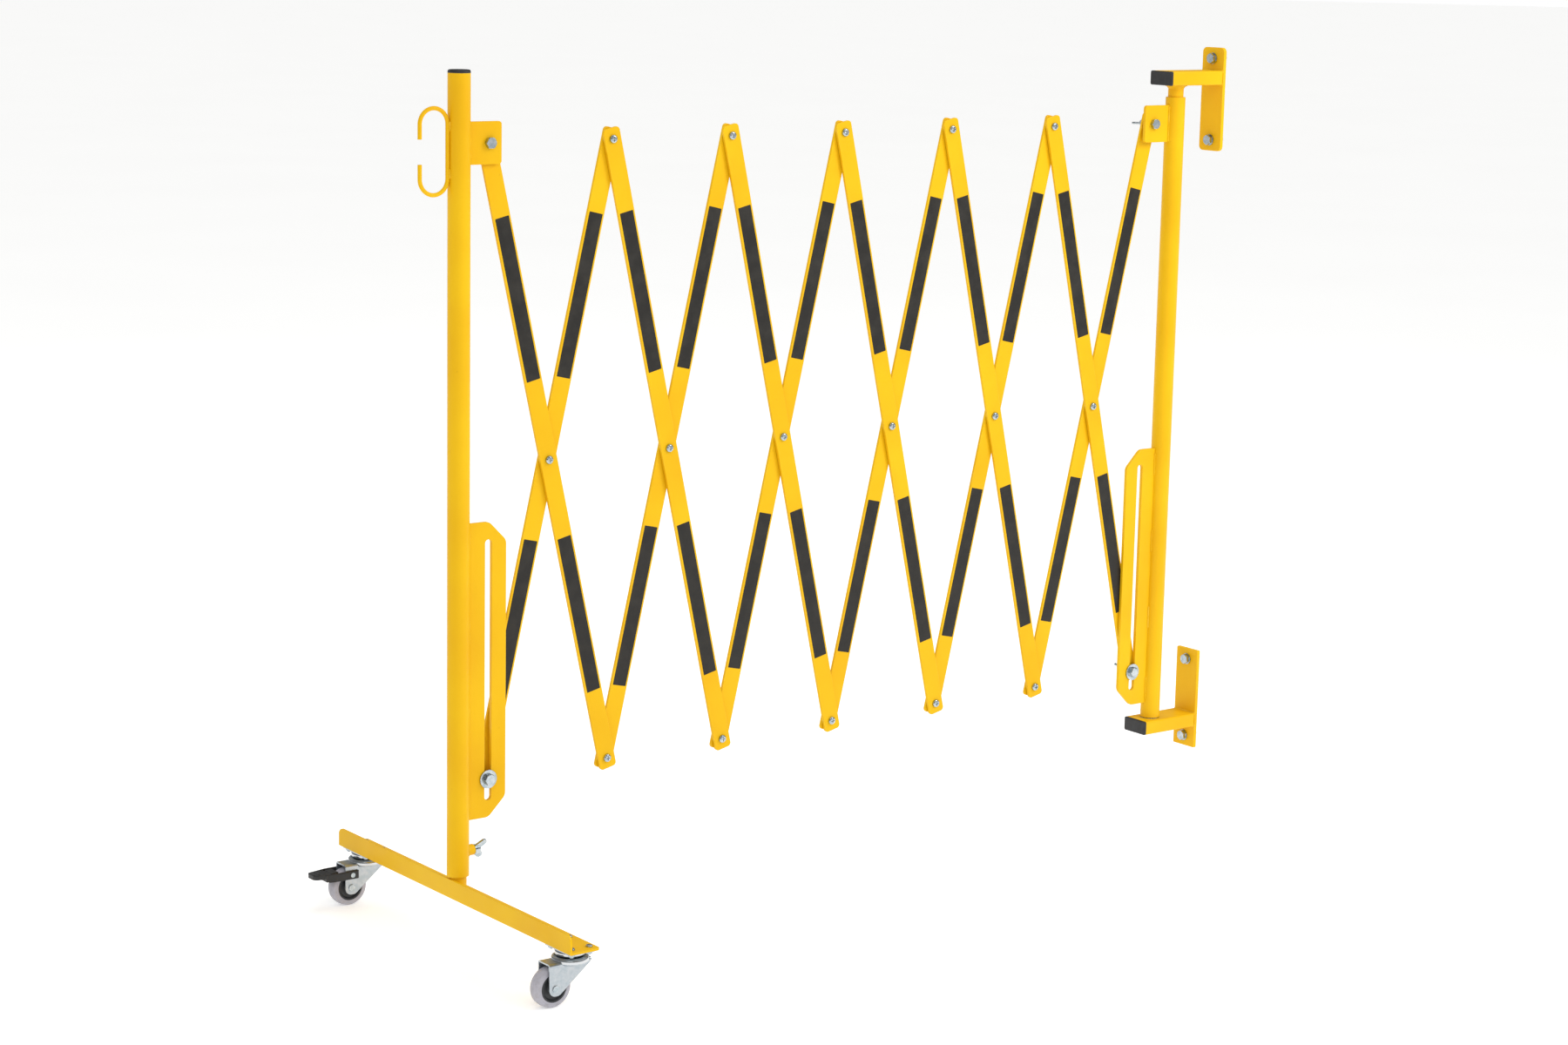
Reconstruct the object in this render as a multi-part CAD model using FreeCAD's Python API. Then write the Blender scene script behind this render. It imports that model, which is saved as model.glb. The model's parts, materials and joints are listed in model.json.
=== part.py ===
"""Wall-mounted expanding trellis barrier: fixed wall brackets, a swinging wall post, six crossed
pairs of flat bars, and a mobile post that stands on a foot bar with two swivel casters.

Millimetres.  +X runs along the trellis towards the wall, +Y away from the bolt heads, +Z up.
Heights are drawn from the floor, and x = 0 is the wall plane.  Every piece is lowered at the end
so that the origin lies at the centre of the lower wall plate's two bolts.
"""
import FreeCAD, Part
import math
import os

# ---- trellis ----
UNITS = 6                   # crossed pairs of bars
BAR_PITCH = 816.0           # top pivot to bottom pivot
BAR_WIDTH = 25.0
BAR_THICK = 4.0
BAR_END = 14.0              # bar beyond its end pivot
BAR_CORNER = 5.0
BAR_EDGE = 0.5              # rolled edge
ANGLE_REST = 13.0           # lean of the bars from vertical, degrees
ANGLE_FOLDED = 3.0
ANGLE_OPEN = 52.5
TOP_PIVOT_Z = 1012.0
PIVOT_OFFSET = 42.0         # post axis to the ear bolt and to the slot's centre line

# ---- posts ----
TUBE_OD = 28.0
TUBE_WALL = 2.5
MOBILE_TUBE_BOTTOM = 98.0
MOBILE_TUBE_TOP = 1096.5
POST_CAP_THICK = 4.0
CAP_PLUG_DEPTH = 14.0       # how far a cap's plug goes into its tube
CAP_PLUG_WALL = 1.6
CAP_PLUG_GAP = 0.05
PLATE_THICK = 5.0           # ear and slot plates
EAR_HEIGHT = 52.0
EAR_BEYOND = 17.0           # plate beyond the ear bolt
EAR_CORNER = 4.0
SLOT_WIDTH = 10.0
SLOT_SPARE = 3.0            # slot beyond the bolt at each end of its travel
SLOT_LAND = 22.0            # plate beyond the slot's ends
SLOT_BEYOND = 26.0          # plate beyond the slot's centre line
SLOT_CHAMFER = 25.0
SLOT_CORNER = 12.0
PLATE_EDGE = 0.6

# ---- wall brackets ----
POST_TO_WALL = 76.0
WALL_PLATE_THICK = 5.0
WALL_PLATE_WIDTH = 43.0
WALL_PLATE_HEIGHT = 147.0
UPPER_PLATE_CORNER = 7.0
LOWER_PLATE_CORNER = 1.5
WALL_BOLT_SPACING = 116.0
WALL_HOLE_R = 4.5
WALL_STUD_OUT = 18.0        # thread beyond the wall plane
ARM_WIDTH = 44.0
ARM_HEIGHT = 20.0
ARM_WALL = 2.0
ARM_CORNER = 2.5
ARM_BEYOND = 27.0           # arm beyond the post axis
ARM_CAP_THICK = 3.0
ARM_FROM_CENTRE = 31.0      # arm's centre line to the plate's centre
LOWER_ARM_TOP = 143.5
UPPER_GAP = 17.0            # room to lift the wall post off its lower spigot
WALL_TUBE_TOP = 1049.0
SPIGOT_OD = 22.0
SPIGOT_WALL = 2.0
LOWER_SPIGOT = 14.0
UPPER_SPIGOT = 52.0
SPIGOT_COLLAR_R = 15.0      # weld collar under the upper arm
SPIGOT_COLLAR_H = 5.0
POST_WASHER_THICK = 1.2

# ---- cable hook on the mobile post ----
HOOK_ROD_R = 2.6
HOOK_Z = 1003.0
HOOK_HEIGHT = 109.0         # over the rod
HOOK_REACH = 38.5           # back of the hook to its open side, rod centre to rod centre
HOOK_LIP = 17.6             # straight end of each arm
HOOK_SINK = 0.4             # weld depth of the rod in the tube

# ---- clamp screw ----
CLAMP_Z = 128.0
BOSS_R = 7.0
BOSS_OUT = 8.0
WING_TILT = 30.0            # wings of the clamp screw, leaning from upright towards -Y

# ---- foot ----
FOOT_LENGTH = 556.0
FLANGE_UP = 24.5
FLANGE_OUT = 43.0
FLANGE_THICK = 3.0
FLANGE_CLIP = 9.0           # rounded end of the standing flange
FLANGE_CORNER = 4.0
FOOT_SPIGOT_IN = 120.0      # spigot inside the post tube
CASTER_INSET = 33.0         # swivel axis to the end of the foot bar
CASTER_HEIGHT = 70.5

# ---- casters ----
WHEEL_R = 25.0
WHEEL_WIDTH = 18.0
TYRE_THICK = 7.5
TYRE_EDGE = 3.0
HUB_BOSS_R = 8.0
HUB_DISH = 2.5
TRAIL = 28.0                # axle behind the swivel axis
CASTER_PLATE_X = 38.0
CASTER_PLATE_Y = 58.0
CASTER_PLATE_THICK = 2.0
CASTER_PLATE_CORNER = 4.0
CASTER_BOLT_X = 25.0
CASTER_BOLT_Y = 44.0
CASTER_BOLT_R = 2.5
CASTER_HEAD_R = 4.3
CASTER_HEAD_H = 2.4
CASTER_NUT_AF = 8.0
CASTER_NUT_H = 3.0
RACE_R = 19.0               # fixed cup
RING_R = 23.0               # turning ring pressed into the fork's crown
RING_BORE_R = 12.0
RING_ABOVE = 3.8            # ring above and below the crown's top
RING_BELOW = 5.0
RACE_HEIGHT = 12.0          # crown's top to the plate
RACE_GAP = 0.4              # between the fixed and the turning cup
KINGPIN_R = 4.0
FORK_THICK = 2.0
FORK_INSIDE = 21.4
FORK_FRONT = 22.5           # crown beyond the swivel axis
FORK_BACK = 9.3             # leg behind the axle
FORK_FOOT_R = 9.0
FORK_TOE = 5.0              # foot of the slanted front edge ahead of the axle
FORK_LIP = 4.0              # upright front edge of the crown
FORK_BEND = 3.0
AXLE_R = 3.0
AXLE_HEAD_R = 4.5
AXLE_HEAD_H = 1.2

# ---- brake pedal on the rear caster ----
PEDAL_ARM_THICK = 3.0
PEDAL_ARM_HEIGHT = 11.0
PEDAL_PIVOT_UP = 18.0       # pivot above the axle
PEDAL_PIVOT_R = 2.5
PEDAL_PIVOT_HEAD = 0.5
PEDAL_TIP = 54.0            # tip behind the axle
PEDAL_FRONT = 9.5           # arm in front of the pivot
SHOE_GAP = 4.0              # brake shoe to tyre, released
SHOE_THICK = 7.0
PEDAL_RIDGE_R = 2.0         # rounded ridge across the tread

# ---- threaded fasteners: shank radius, head across flats, head height, nut height ----
M6 = {"r": 3.0, "af": 10.0, "head": 3.4, "nut": 6.0}
M8 = {"r": 4.0, "af": 13.0, "head": 5.3, "nut": 8.0}
PAN_HEAD_R = 5.3            # round heads of the pivot bolts
PAN_HEAD_EDGE = 2.2
CROSS_WIDTH = 1.3           # cross recess in them
CROSS_LENGTH = 6.0
CROSS_DEPTH = 1.6
BOLT_HOLE_GAP = 0.3         # shank to hole, radially
THREAD_GAP = 0.05           # nut to its own bolt
TURNING_THREAD_GAP = 0.1    # wing nut to its bolt
THREAD_OUT = 1.5            # bolt beyond its nut
BIG_WASHER_R = 12.0
WASHER_R = 8.0
SMALL_WASHER_R = 6.5
WASHER_THICK = 1.6
THIN_WASHER = 0.5

# ---- wings of the wing nuts and the clamp screw ----
WING_HUB_R = 6.5
WING_HUB_TOP_R = 5.0
WING_HUB_H = 8.5
WING_THICK = 2.8
WING_REACH = 10.5           # centre of each lobe from the axis
WING_RISE = 11.5            # centre of each lobe above the seat
WING_LOBE_R = 4.5
SLOT_WING_LEAN = 37.0       # wings of the slot bolt's nut, outer one raised from level

# ---- clearances between pieces that move on each other ----
FACE_GAP = 0.3
BAR_GAP = 0.8               # plate to front bars, and front bars to rear bars
SEAT_GAP = 0.2              # nut or washer to the bar that turns under it

# ---- places worked out from the sizes above ----
STEP_X = BAR_PITCH * math.sin(math.radians(ANGLE_REST))
BOTTOM_PIVOT_Z = TOP_PIVOT_Z - BAR_PITCH * math.cos(math.radians(ANGLE_REST))
WALL_POST_X = -POST_TO_WALL
LAST_PIVOT_X = WALL_POST_X - PIVOT_OFFSET
FIRST_PIVOT_X = LAST_PIVOT_X - UNITS * STEP_X
MOBILE_POST_X = FIRST_PIVOT_X - PIVOT_OFFSET

PLATE_BACK_Y = PLATE_THICK / 2
PLATE_FRONT_Y = -PLATE_THICK / 2
FRONT_BAR_Y = PLATE_BACK_Y + BAR_GAP
FRONT_BAR_BACK_Y = FRONT_BAR_Y + BAR_THICK
REAR_BAR_Y = FRONT_BAR_BACK_Y + BAR_GAP
REAR_BAR_BACK_Y = REAR_BAR_Y + BAR_THICK

TUBE_R = TUBE_OD / 2
TUBE_BORE_R = TUBE_R - TUBE_WALL
SPIGOT_R = SPIGOT_OD / 2
LOWER_ARM_Z = LOWER_ARM_TOP - ARM_HEIGHT / 2
LOWER_PLATE_Z = LOWER_ARM_Z + ARM_FROM_CENTRE
UPPER_ARM_BOTTOM = WALL_TUBE_TOP + UPPER_GAP
UPPER_ARM_Z = UPPER_ARM_BOTTOM + ARM_HEIGHT / 2
UPPER_PLATE_Z = UPPER_ARM_Z - ARM_FROM_CENTRE
WALL_TUBE_BOTTOM = LOWER_ARM_TOP + POST_WASHER_THICK + FACE_GAP
ARM_END_X = WALL_POST_X - ARM_BEYOND

SLOT_BOTTOM = (TOP_PIVOT_Z - BAR_PITCH * math.cos(math.radians(ANGLE_FOLDED))
               - SLOT_WIDTH / 2 - SLOT_SPARE)
SLOT_TOP = (TOP_PIVOT_Z - BAR_PITCH * math.cos(math.radians(ANGLE_OPEN))
            + SLOT_WIDTH / 2 + SLOT_SPARE)

FOOT_BACK_X = MOBILE_POST_X - SPIGOT_R - FLANGE_THICK
FOOT_TOP_Z = CASTER_HEIGHT + FLANGE_THICK
CASTER_X = FOOT_BACK_X + FLANGE_OUT / 2
CASTER_Y = FOOT_LENGTH / 2 - CASTER_INSET
AXLE_X = CASTER_X - TRAIL
FORK_OUTSIDE = FORK_INSIDE + 2 * FORK_THICK
PLATE_UNDER = CASTER_HEIGHT - CASTER_PLATE_THICK
CROWN_TOP = PLATE_UNDER - RACE_HEIGHT

X_AXIS = FreeCAD.Vector(1, 0, 0)
Y_AXIS = FreeCAD.Vector(0, 1, 0)
Z_AXIS = FreeCAD.Vector(0, 0, 1)


# ---- shape helpers ----
def vec(x, y, z):
    return FreeCAD.Vector(x, y, z)


def save(name, *solids):
    """Write one node, lowered to the origin at the lower wall plate."""
    shape = solids[0] if len(solids) == 1 else Part.makeCompound(list(solids))
    shape = shape.copy()
    shape.translate(vec(0, 0, -LOWER_PLATE_Z))
    shape.exportStep(f"parts/{name}.step")


def box(x0, x1, y0, y1, z0, z1):
    return Part.makeBox(x1 - x0, y1 - y0, z1 - z0, vec(x0, y0, z0))


def rod(radius, start, axis, length):
    return Part.makeCylinder(radius, length, start, axis)


def ring(outer, inner, start, axis, length):
    return rod(outer, start, axis, length).cut(rod(inner, start, axis, length))


def outline(corners, place):
    """Closed wire through (u, v, radius) corners, each rounded to its radius; place maps (u, v) to 3-D."""
    spans = []
    count = len(corners)
    for i, (u, v, radius) in enumerate(corners):
        before, after = corners[i - 1], corners[(i + 1) % count]
        ins = (before[0] - u, before[1] - v)
        out = (after[0] - u, after[1] - v)
        len_in, len_out = math.hypot(*ins), math.hypot(*out)
        ins = (ins[0] / len_in, ins[1] / len_in)
        out = (out[0] / len_out, out[1] / len_out)
        if radius <= 0:
            spans.append(((u, v), None, (u, v)))
            continue
        half = math.acos(max(-1.0, min(1.0, ins[0] * out[0] + ins[1] * out[1]))) / 2
        back = radius / math.tan(half)
        mid = (ins[0] + out[0], ins[1] + out[1])
        size = math.hypot(*mid)
        reach = radius / math.sin(half) - radius
        spans.append(((u + ins[0] * back, v + ins[1] * back),
                      (u + mid[0] / size * reach, v + mid[1] / size * reach),
                      (u + out[0] * back, v + out[1] * back)))
    edges = []
    for i, (start, middle, end) in enumerate(spans):
        if middle:
            edges.append(Part.Arc(place(*start), place(*middle), place(*end)).toShape())
        begin = spans[(i + 1) % count][0]
        if math.dist(end, begin) > 1e-6:
            edges.append(Part.LineSegment(place(*end), place(*begin)).toShape())
    return Part.Wire(edges)


def plate_xz(corners, y0, y1):
    """Flat piece with its outline in XZ, from y0 to y1."""
    face = Part.Face(outline(corners, lambda u, v: vec(u, y0, v)))
    return face.extrude(vec(0, y1 - y0, 0))


def plate_yz(corners, x0, x1):
    face = Part.Face(outline(corners, lambda u, v: vec(x0, u, v)))
    return face.extrude(vec(x1 - x0, 0, 0))


def plate_xy(corners, z0, z1):
    face = Part.Face(outline(corners, lambda u, v: vec(u, v, z0)))
    return face.extrude(vec(0, 0, z1 - z0))


def rectangle(u0, u1, v0, v1, radius):
    return [(u0, v0, radius), (u1, v0, radius), (u1, v1, radius), (u0, v1, radius)]


def soft_rims(shape, radius, axis, levels):
    """Round every edge that lies in one of the planes at these levels along an axis."""
    rims = [e for e in shape.Edges
            if any(all(abs(v.Point.dot(axis) - level) < 1e-6 for v in e.Vertexes) for level in levels)
            and all(abs(e.valueAt(p).dot(axis) - e.Vertexes[0].Point.dot(axis)) < 1e-6
                    for p in e.ParameterRange)]
    return shape.makeFillet(radius, rims)


def hexagon(across_flats, start, axis, height):
    """Hex prism with its outer corners turned off at the far end."""
    corner = across_flats / math.sqrt(3)
    points = [vec(corner * math.cos(math.radians(60 * k)), corner * math.sin(math.radians(60 * k)), 0)
              for k in range(7)]
    prism = Part.Face(Part.makePolygon(points)).extrude(vec(0, 0, height))
    turned = Part.makeCylinder(corner, height)
    top = [e for e in turned.Edges if e.Curve.TypeId == "Part::GeomCircle"
           and e.Curve.Center.z > height / 2]
    turned = turned.makeChamfer((corner - across_flats / 2) * 0.9, top)
    head = prism.common(turned)
    head.Placement = FreeCAD.Placement(start, FreeCAD.Rotation(Z_AXIS, axis))
    return head


def hex_bolt(size, seat, axis, length):
    """Bolt whose head stands on the seat and whose shank runs along the axis from it."""
    head = hexagon(size["af"], seat, axis * -1, size["head"])
    return head.fuse(rod(size["r"], seat, axis, length)).removeSplitter()


def pan_bolt(size, seat, axis, length):
    """Bolt with a round domed head and a cross recess."""
    head = rod(PAN_HEAD_R, seat, axis * -1, size["head"])
    far = (seat - axis * size["head"]).dot(axis)
    rim = [e for e in head.Edges if e.Curve.TypeId == "Part::GeomCircle"
           and abs(e.Curve.Center.dot(axis) - far) < 1e-6]
    head = head.makeFillet(PAN_HEAD_EDGE, rim)
    for half_u, half_v in ((CROSS_LENGTH / 2, CROSS_WIDTH / 2), (CROSS_WIDTH / 2, CROSS_LENGTH / 2)):
        y0 = seat.y - size["head"]
        head = head.cut(box(seat.x - half_u, seat.x + half_u, y0 - 1, y0 + CROSS_DEPTH,
                            seat.z - half_v, seat.z + half_v))
    return head.fuse(rod(size["r"], seat, axis, length)).removeSplitter()


def lock_nut(size, seat, axis):
    """Nut with a domed collar at its outer end."""
    collar = size["nut"] * 0.25
    flats = hexagon(size["af"], seat, axis, size["nut"] - collar)
    dome = Part.makeCone(size["af"] * 0.46, size["af"] * 0.38, collar,
                         seat + axis * (size["nut"] - collar), axis)
    body = flats.fuse(dome)
    return body.cut(rod(size["r"] + THREAD_GAP, seat, axis, size["nut"])).removeSplitter()


def wings(seat, axis, across):
    """Hub and two rounded lobes of a wing nut, standing on the seat; across points along the wings."""
    hub = Part.makeCone(WING_HUB_R, WING_HUB_TOP_R, WING_HUB_H)
    shape = hub
    for side in (1, -1):
        arm = [vec(0, -WING_THICK / 2, 0.8),
               vec(side * (WING_HUB_R + 0.5), -WING_THICK / 2, 0.8),
               vec(side * (WING_REACH + WING_LOBE_R * 0.72), -WING_THICK / 2, WING_RISE - WING_LOBE_R * 0.69),
               vec(side * (WING_REACH - WING_LOBE_R * 0.8), -WING_THICK / 2, WING_RISE + WING_LOBE_R * 0.6),
               vec(0, -WING_THICK / 2, WING_HUB_H * 0.8)]
        web = Part.Face(Part.makePolygon(arm + arm[:1])).extrude(vec(0, WING_THICK, 0))
        lobe = rod(WING_LOBE_R, vec(side * WING_REACH, -WING_THICK / 2, WING_RISE), Y_AXIS, WING_THICK)
        shape = shape.fuse(web).fuse(lobe)
    shape = shape.removeSplitter()
    turn = FreeCAD.Rotation(across, axis.cross(across), axis, "ZXY")
    shape.Placement = FreeCAD.Placement(seat, turn)
    return shape


def pivot_x(i):
    """x of the i-th pair of top and bottom pivots, 0 at the mobile post."""
    return FIRST_PIVOT_X + i * STEP_X


# ---- trellis ----
def flat_bar(top_x, side, y, hole_top, hole_middle, hole_bottom):
    """Bar hung from its top pivot; side is +1 if its lower end leans to +X and -1 to -X."""
    half = BAR_WIDTH / 2
    bar = plate_xz(rectangle(-half, half, -BAR_PITCH - BAR_END, BAR_END, BAR_CORNER), y, y + BAR_THICK)
    bar = soft_rims(bar, BAR_EDGE, Y_AXIS, (y, y + BAR_THICK))
    for depth, shank in ((0, hole_top), (BAR_PITCH / 2, hole_middle), (BAR_PITCH, hole_bottom)):
        bar = bar.cut(rod(shank + BOLT_HOLE_GAP, vec(0, y - 1, -depth), Y_AXIS, BAR_THICK + 2))
    bar.rotate(vec(0, 0, 0), Y_AXIS, -side * ANGLE_REST)
    bar.translate(vec(top_x, 0, TOP_PIVOT_Z))
    return bar


def pivot_fastener(x, z):
    """M6 pan-head bolt, thin washer between the bars and lock nut behind them."""
    grip = REAR_BAR_BACK_Y + SEAT_GAP - FRONT_BAR_Y
    bolt = pan_bolt(M6, vec(x, FRONT_BAR_Y, z), Y_AXIS, grip + M6["nut"] + THREAD_OUT)
    between = ring(SMALL_WASHER_R, M6["r"] + BOLT_HOLE_GAP, vec(x, FRONT_BAR_BACK_Y, z), Y_AXIS,
                   BAR_GAP - SEAT_GAP)
    nut = lock_nut(M6, vec(x, REAR_BAR_BACK_Y + SEAT_GAP, z), Y_AXIS)
    return [bolt, between, nut]


def build_trellis():
    middle_z = (TOP_PIVOT_Z + BOTTOM_PIVOT_Z) / 2
    for i in range(1, UNITS + 1):
        first, last = i == 1, i == UNITS
        save(f"front_bar_{i}", flat_bar(pivot_x(i - 1), 1, FRONT_BAR_Y, M8["r"] if first else M6["r"],
                                        M6["r"], M8["r"] if last else M6["r"]))
        save(f"rear_bar_{i}", flat_bar(pivot_x(i), -1, REAR_BAR_Y, M8["r"] if last else M6["r"],
                                       M6["r"], M8["r"] if first else M6["r"]))
        places = [(pivot_x(i - 0.5), middle_z)]
        if not first:
            places.append((pivot_x(i - 1), TOP_PIVOT_Z))
        if not last:
            places.append((pivot_x(i), BOTTOM_PIVOT_Z))
        save(f"pivot_fasteners_{i}", *[s for x, z in places for s in pivot_fastener(x, z)])


# ---- posts ----
def ear_plate(post_x, side):
    """Ear beside a post for the top bolt; side is +1 on the mobile post and -1 on the wall post."""
    outer = post_x + side * (PIVOT_OFFSET + EAR_BEYOND)
    inner = post_x + side * TUBE_BORE_R
    u0, u1 = sorted((inner, outer))
    z0, z1 = TOP_PIVOT_Z - EAR_HEIGHT / 2, TOP_PIVOT_Z + EAR_HEIGHT / 2
    r0, r1 = (0, EAR_CORNER) if side > 0 else (EAR_CORNER, 0)
    ear = plate_xz([(u0, z0, r0), (u1, z0, r1), (u1, z1, r1), (u0, z1, r0)], PLATE_FRONT_Y, PLATE_BACK_Y)
    ear = soft_rims(ear, PLATE_EDGE, Y_AXIS, (PLATE_FRONT_Y, PLATE_BACK_Y))
    ear = ear.cut(rod(TUBE_R, vec(post_x, 0, z0 - 1), Z_AXIS, EAR_HEIGHT + 2))
    hole_x = post_x + side * PIVOT_OFFSET
    return ear.cut(rod(M8["r"] + BOLT_HOLE_GAP, vec(hole_x, PLATE_FRONT_Y - 1, TOP_PIVOT_Z), Y_AXIS,
                       PLATE_THICK + 2))


def slot_plate(post_x, side):
    """Plate beside a post with the upright slot that the bottom bolt slides in."""
    outer = post_x + side * (PIVOT_OFFSET + SLOT_BEYOND)
    inner = post_x + side * TUBE_BORE_R
    bevel = outer - side * SLOT_CHAMFER
    z0, z1 = SLOT_BOTTOM - SLOT_LAND, SLOT_TOP + SLOT_LAND
    corners = [(inner, z0, 0), (bevel, z0, SLOT_CORNER), (outer, z0 + SLOT_CHAMFER, SLOT_CORNER),
               (outer, z1 - SLOT_CHAMFER, SLOT_CORNER), (bevel, z1, SLOT_CORNER), (inner, z1, 0)]
    plate = plate_xz(corners, PLATE_FRONT_Y, PLATE_BACK_Y)
    plate = soft_rims(plate, PLATE_EDGE, Y_AXIS, (PLATE_FRONT_Y, PLATE_BACK_Y))
    plate = plate.cut(rod(TUBE_R, vec(post_x, 0, z0 - 1), Z_AXIS, z1 - z0 + 2))
    centre = post_x + side * PIVOT_OFFSET
    half = SLOT_WIDTH / 2
    slot = rectangle(centre - half, centre + half, SLOT_BOTTOM, SLOT_TOP, half - 1e-4)
    return plate.cut(plate_xz(slot, PLATE_FRONT_Y - 1, PLATE_BACK_Y + 1))


def round_cap(x, z, radius, bore):
    """Moulded cap on a round tube: a domed disc and a hollow plug."""
    disc = rod(radius, vec(x, 0, z), Z_AXIS, POST_CAP_THICK)
    rim = [e for e in disc.Edges if e.Curve.TypeId == "Part::GeomCircle" and e.Curve.Center.z > z + 1]
    disc = disc.makeFillet(POST_CAP_THICK * 0.6, rim)
    plug = ring(bore - CAP_PLUG_GAP, bore - CAP_PLUG_GAP - CAP_PLUG_WALL,
                vec(x, 0, z - CAP_PLUG_DEPTH), Z_AXIS, CAP_PLUG_DEPTH)
    return disc.fuse(plug)


def hook():
    """C of bent rod on the side of the mobile post away from the trellis, open to that side."""
    back_x = MOBILE_POST_X - TUBE_R - HOOK_ROD_R + HOOK_SINK
    lip_x = back_x - HOOK_REACH
    radius = HOOK_REACH / 2
    bend_z = HOOK_HEIGHT / 2 - HOOK_ROD_R - radius
    up, down = HOOK_Z + bend_z, HOOK_Z - bend_z
    centre_x = (back_x + lip_x) / 2
    path = Part.Wire([
        Part.LineSegment(vec(lip_x, 0, up - HOOK_LIP), vec(lip_x, 0, up)).toShape(),
        Part.Arc(vec(lip_x, 0, up), vec(centre_x, 0, up + radius), vec(back_x, 0, up)).toShape(),
        Part.LineSegment(vec(back_x, 0, up), vec(back_x, 0, down)).toShape(),
        Part.Arc(vec(back_x, 0, down), vec(centre_x, 0, down - radius), vec(lip_x, 0, down)).toShape(),
        Part.LineSegment(vec(lip_x, 0, down), vec(lip_x, 0, down + HOOK_LIP)).toShape(),
    ])
    section = Part.Wire(Part.makeCircle(HOOK_ROD_R, vec(lip_x, 0, up - HOOK_LIP), Z_AXIS))
    bent = path.makePipeShell([section], True, False)
    tube = rod(TUBE_R, vec(MOBILE_POST_X, 0, HOOK_Z - HOOK_HEIGHT), Z_AXIS, 2 * HOOK_HEIGHT)
    return bent.cut(tube)


def clamp_boss():
    """Round threaded boss welded on the trellis side of the mobile post."""
    start = vec(MOBILE_POST_X + TUBE_BORE_R, 0, CLAMP_Z)
    boss = rod(BOSS_R, start, X_AXIS, TUBE_WALL + BOSS_OUT)
    rim = [e for e in boss.Edges if e.Curve.TypeId == "Part::GeomCircle" and e.Curve.Center.x > start.x + 1]
    boss = boss.makeChamfer(PLATE_EDGE, rim)
    boss = boss.cut(rod(TUBE_R, vec(MOBILE_POST_X, 0, CLAMP_Z - 2 * BOSS_R), Z_AXIS, 4 * BOSS_R))
    return boss.cut(rod(M8["r"] + TURNING_THREAD_GAP, start, X_AXIS, TUBE_WALL + BOSS_OUT))


def wing_screw():
    """Clamp screw through the boss, its tip just off the spigot."""
    seat = vec(MOBILE_POST_X + TUBE_R + BOSS_OUT + FACE_GAP, 0, CLAMP_Z)
    tip = MOBILE_POST_X + SPIGOT_R + FACE_GAP
    shank = rod(M8["r"], vec(tip, 0, CLAMP_Z), X_AXIS, seat.x - tip + 1)
    lean = math.radians(WING_TILT)
    return wings(seat, X_AXIS, vec(0, -math.sin(lean), math.cos(lean))).fuse(shank).removeSplitter()


def build_mobile_post():
    x = MOBILE_POST_X
    tube = ring(TUBE_R, TUBE_BORE_R, vec(x, 0, MOBILE_TUBE_BOTTOM), Z_AXIS,
                MOBILE_TUBE_TOP - MOBILE_TUBE_BOTTOM)
    screw_way = rod(M8["r"] + TURNING_THREAD_GAP, vec(x, 0, CLAMP_Z), X_AXIS, TUBE_OD)
    save("mobile_post_tube", tube.cut(screw_way))
    save("mobile_post_cap", round_cap(x, MOBILE_TUBE_TOP, TUBE_R, TUBE_BORE_R))
    save("mobile_post_ear", ear_plate(x, 1))
    save("mobile_post_slot_plate", slot_plate(x, 1))
    save("cable_hook", hook())
    save("clamp_boss", clamp_boss())
    save("clamp_screw", wing_screw())
    save("mobile_ear_bolt", *mobile_ear_bolt())
    save("mobile_slot_bolt", *mobile_slot_bolt())


def mobile_ear_bolt():
    """Top bolt of the first front bar, with a thin washer before the bar and a lock nut behind it."""
    x, z = FIRST_PIVOT_X, TOP_PIVOT_Z
    nut_y = FRONT_BAR_BACK_Y + FACE_GAP
    bolt = hex_bolt(M8, vec(x, PLATE_FRONT_Y, z), Y_AXIS, nut_y - PLATE_FRONT_Y + M8["nut"] + THREAD_OUT)
    washer = ring(WASHER_R, M8["r"] + BOLT_HOLE_GAP, vec(x, PLATE_BACK_Y, z), Y_AXIS, THIN_WASHER)
    return [bolt, washer, lock_nut(M8, vec(x, nut_y, z), Y_AXIS)]


def slot_bolt_front(x, z, bar_y, behind):
    """Bolt, big washer before the slot plate and spacer behind it, all held by the bar at bar_y."""
    seat_y = PLATE_FRONT_Y - FACE_GAP - WASHER_THICK
    bolt = hex_bolt(M8, vec(x, seat_y, z), Y_AXIS, bar_y + BAR_THICK + behind - seat_y)
    washer = ring(BIG_WASHER_R, M8["r"] + THREAD_GAP, vec(x, seat_y, z), Y_AXIS, WASHER_THICK)
    spacer_y = PLATE_BACK_Y + FACE_GAP
    spacer = ring(WASHER_R, M8["r"] + THREAD_GAP, vec(x, spacer_y, z), Y_AXIS, bar_y - spacer_y)
    rear = ring(WASHER_R, M8["r"] + THREAD_GAP, vec(x, bar_y + BAR_THICK, z), Y_AXIS, WASHER_THICK)
    return [bolt, washer, spacer, rear]


def mobile_slot_bolt():
    """Bottom bolt of the first rear bar, in the mobile post's slot."""
    x, z = FIRST_PIVOT_X, BOTTOM_PIVOT_Z
    pieces = slot_bolt_front(x, z, REAR_BAR_Y, WASHER_THICK + M8["nut"] + THREAD_OUT)
    return pieces + [lock_nut(M8, vec(x, REAR_BAR_BACK_Y + WASHER_THICK, z), Y_AXIS)]


def wing_nut(seat, lean):
    """Wing nut on a bolt along Y; its outer wing is raised from level by lean degrees."""
    angle = math.radians(lean)
    nut = wings(seat, Y_AXIS, vec(math.cos(angle), 0, -math.sin(angle)))
    return nut.cut(rod(M8["r"] + TURNING_THREAD_GAP, vec(seat.x, seat.y - 1, seat.z), Y_AXIS,
                       WING_RISE + WING_LOBE_R + 2))


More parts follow.
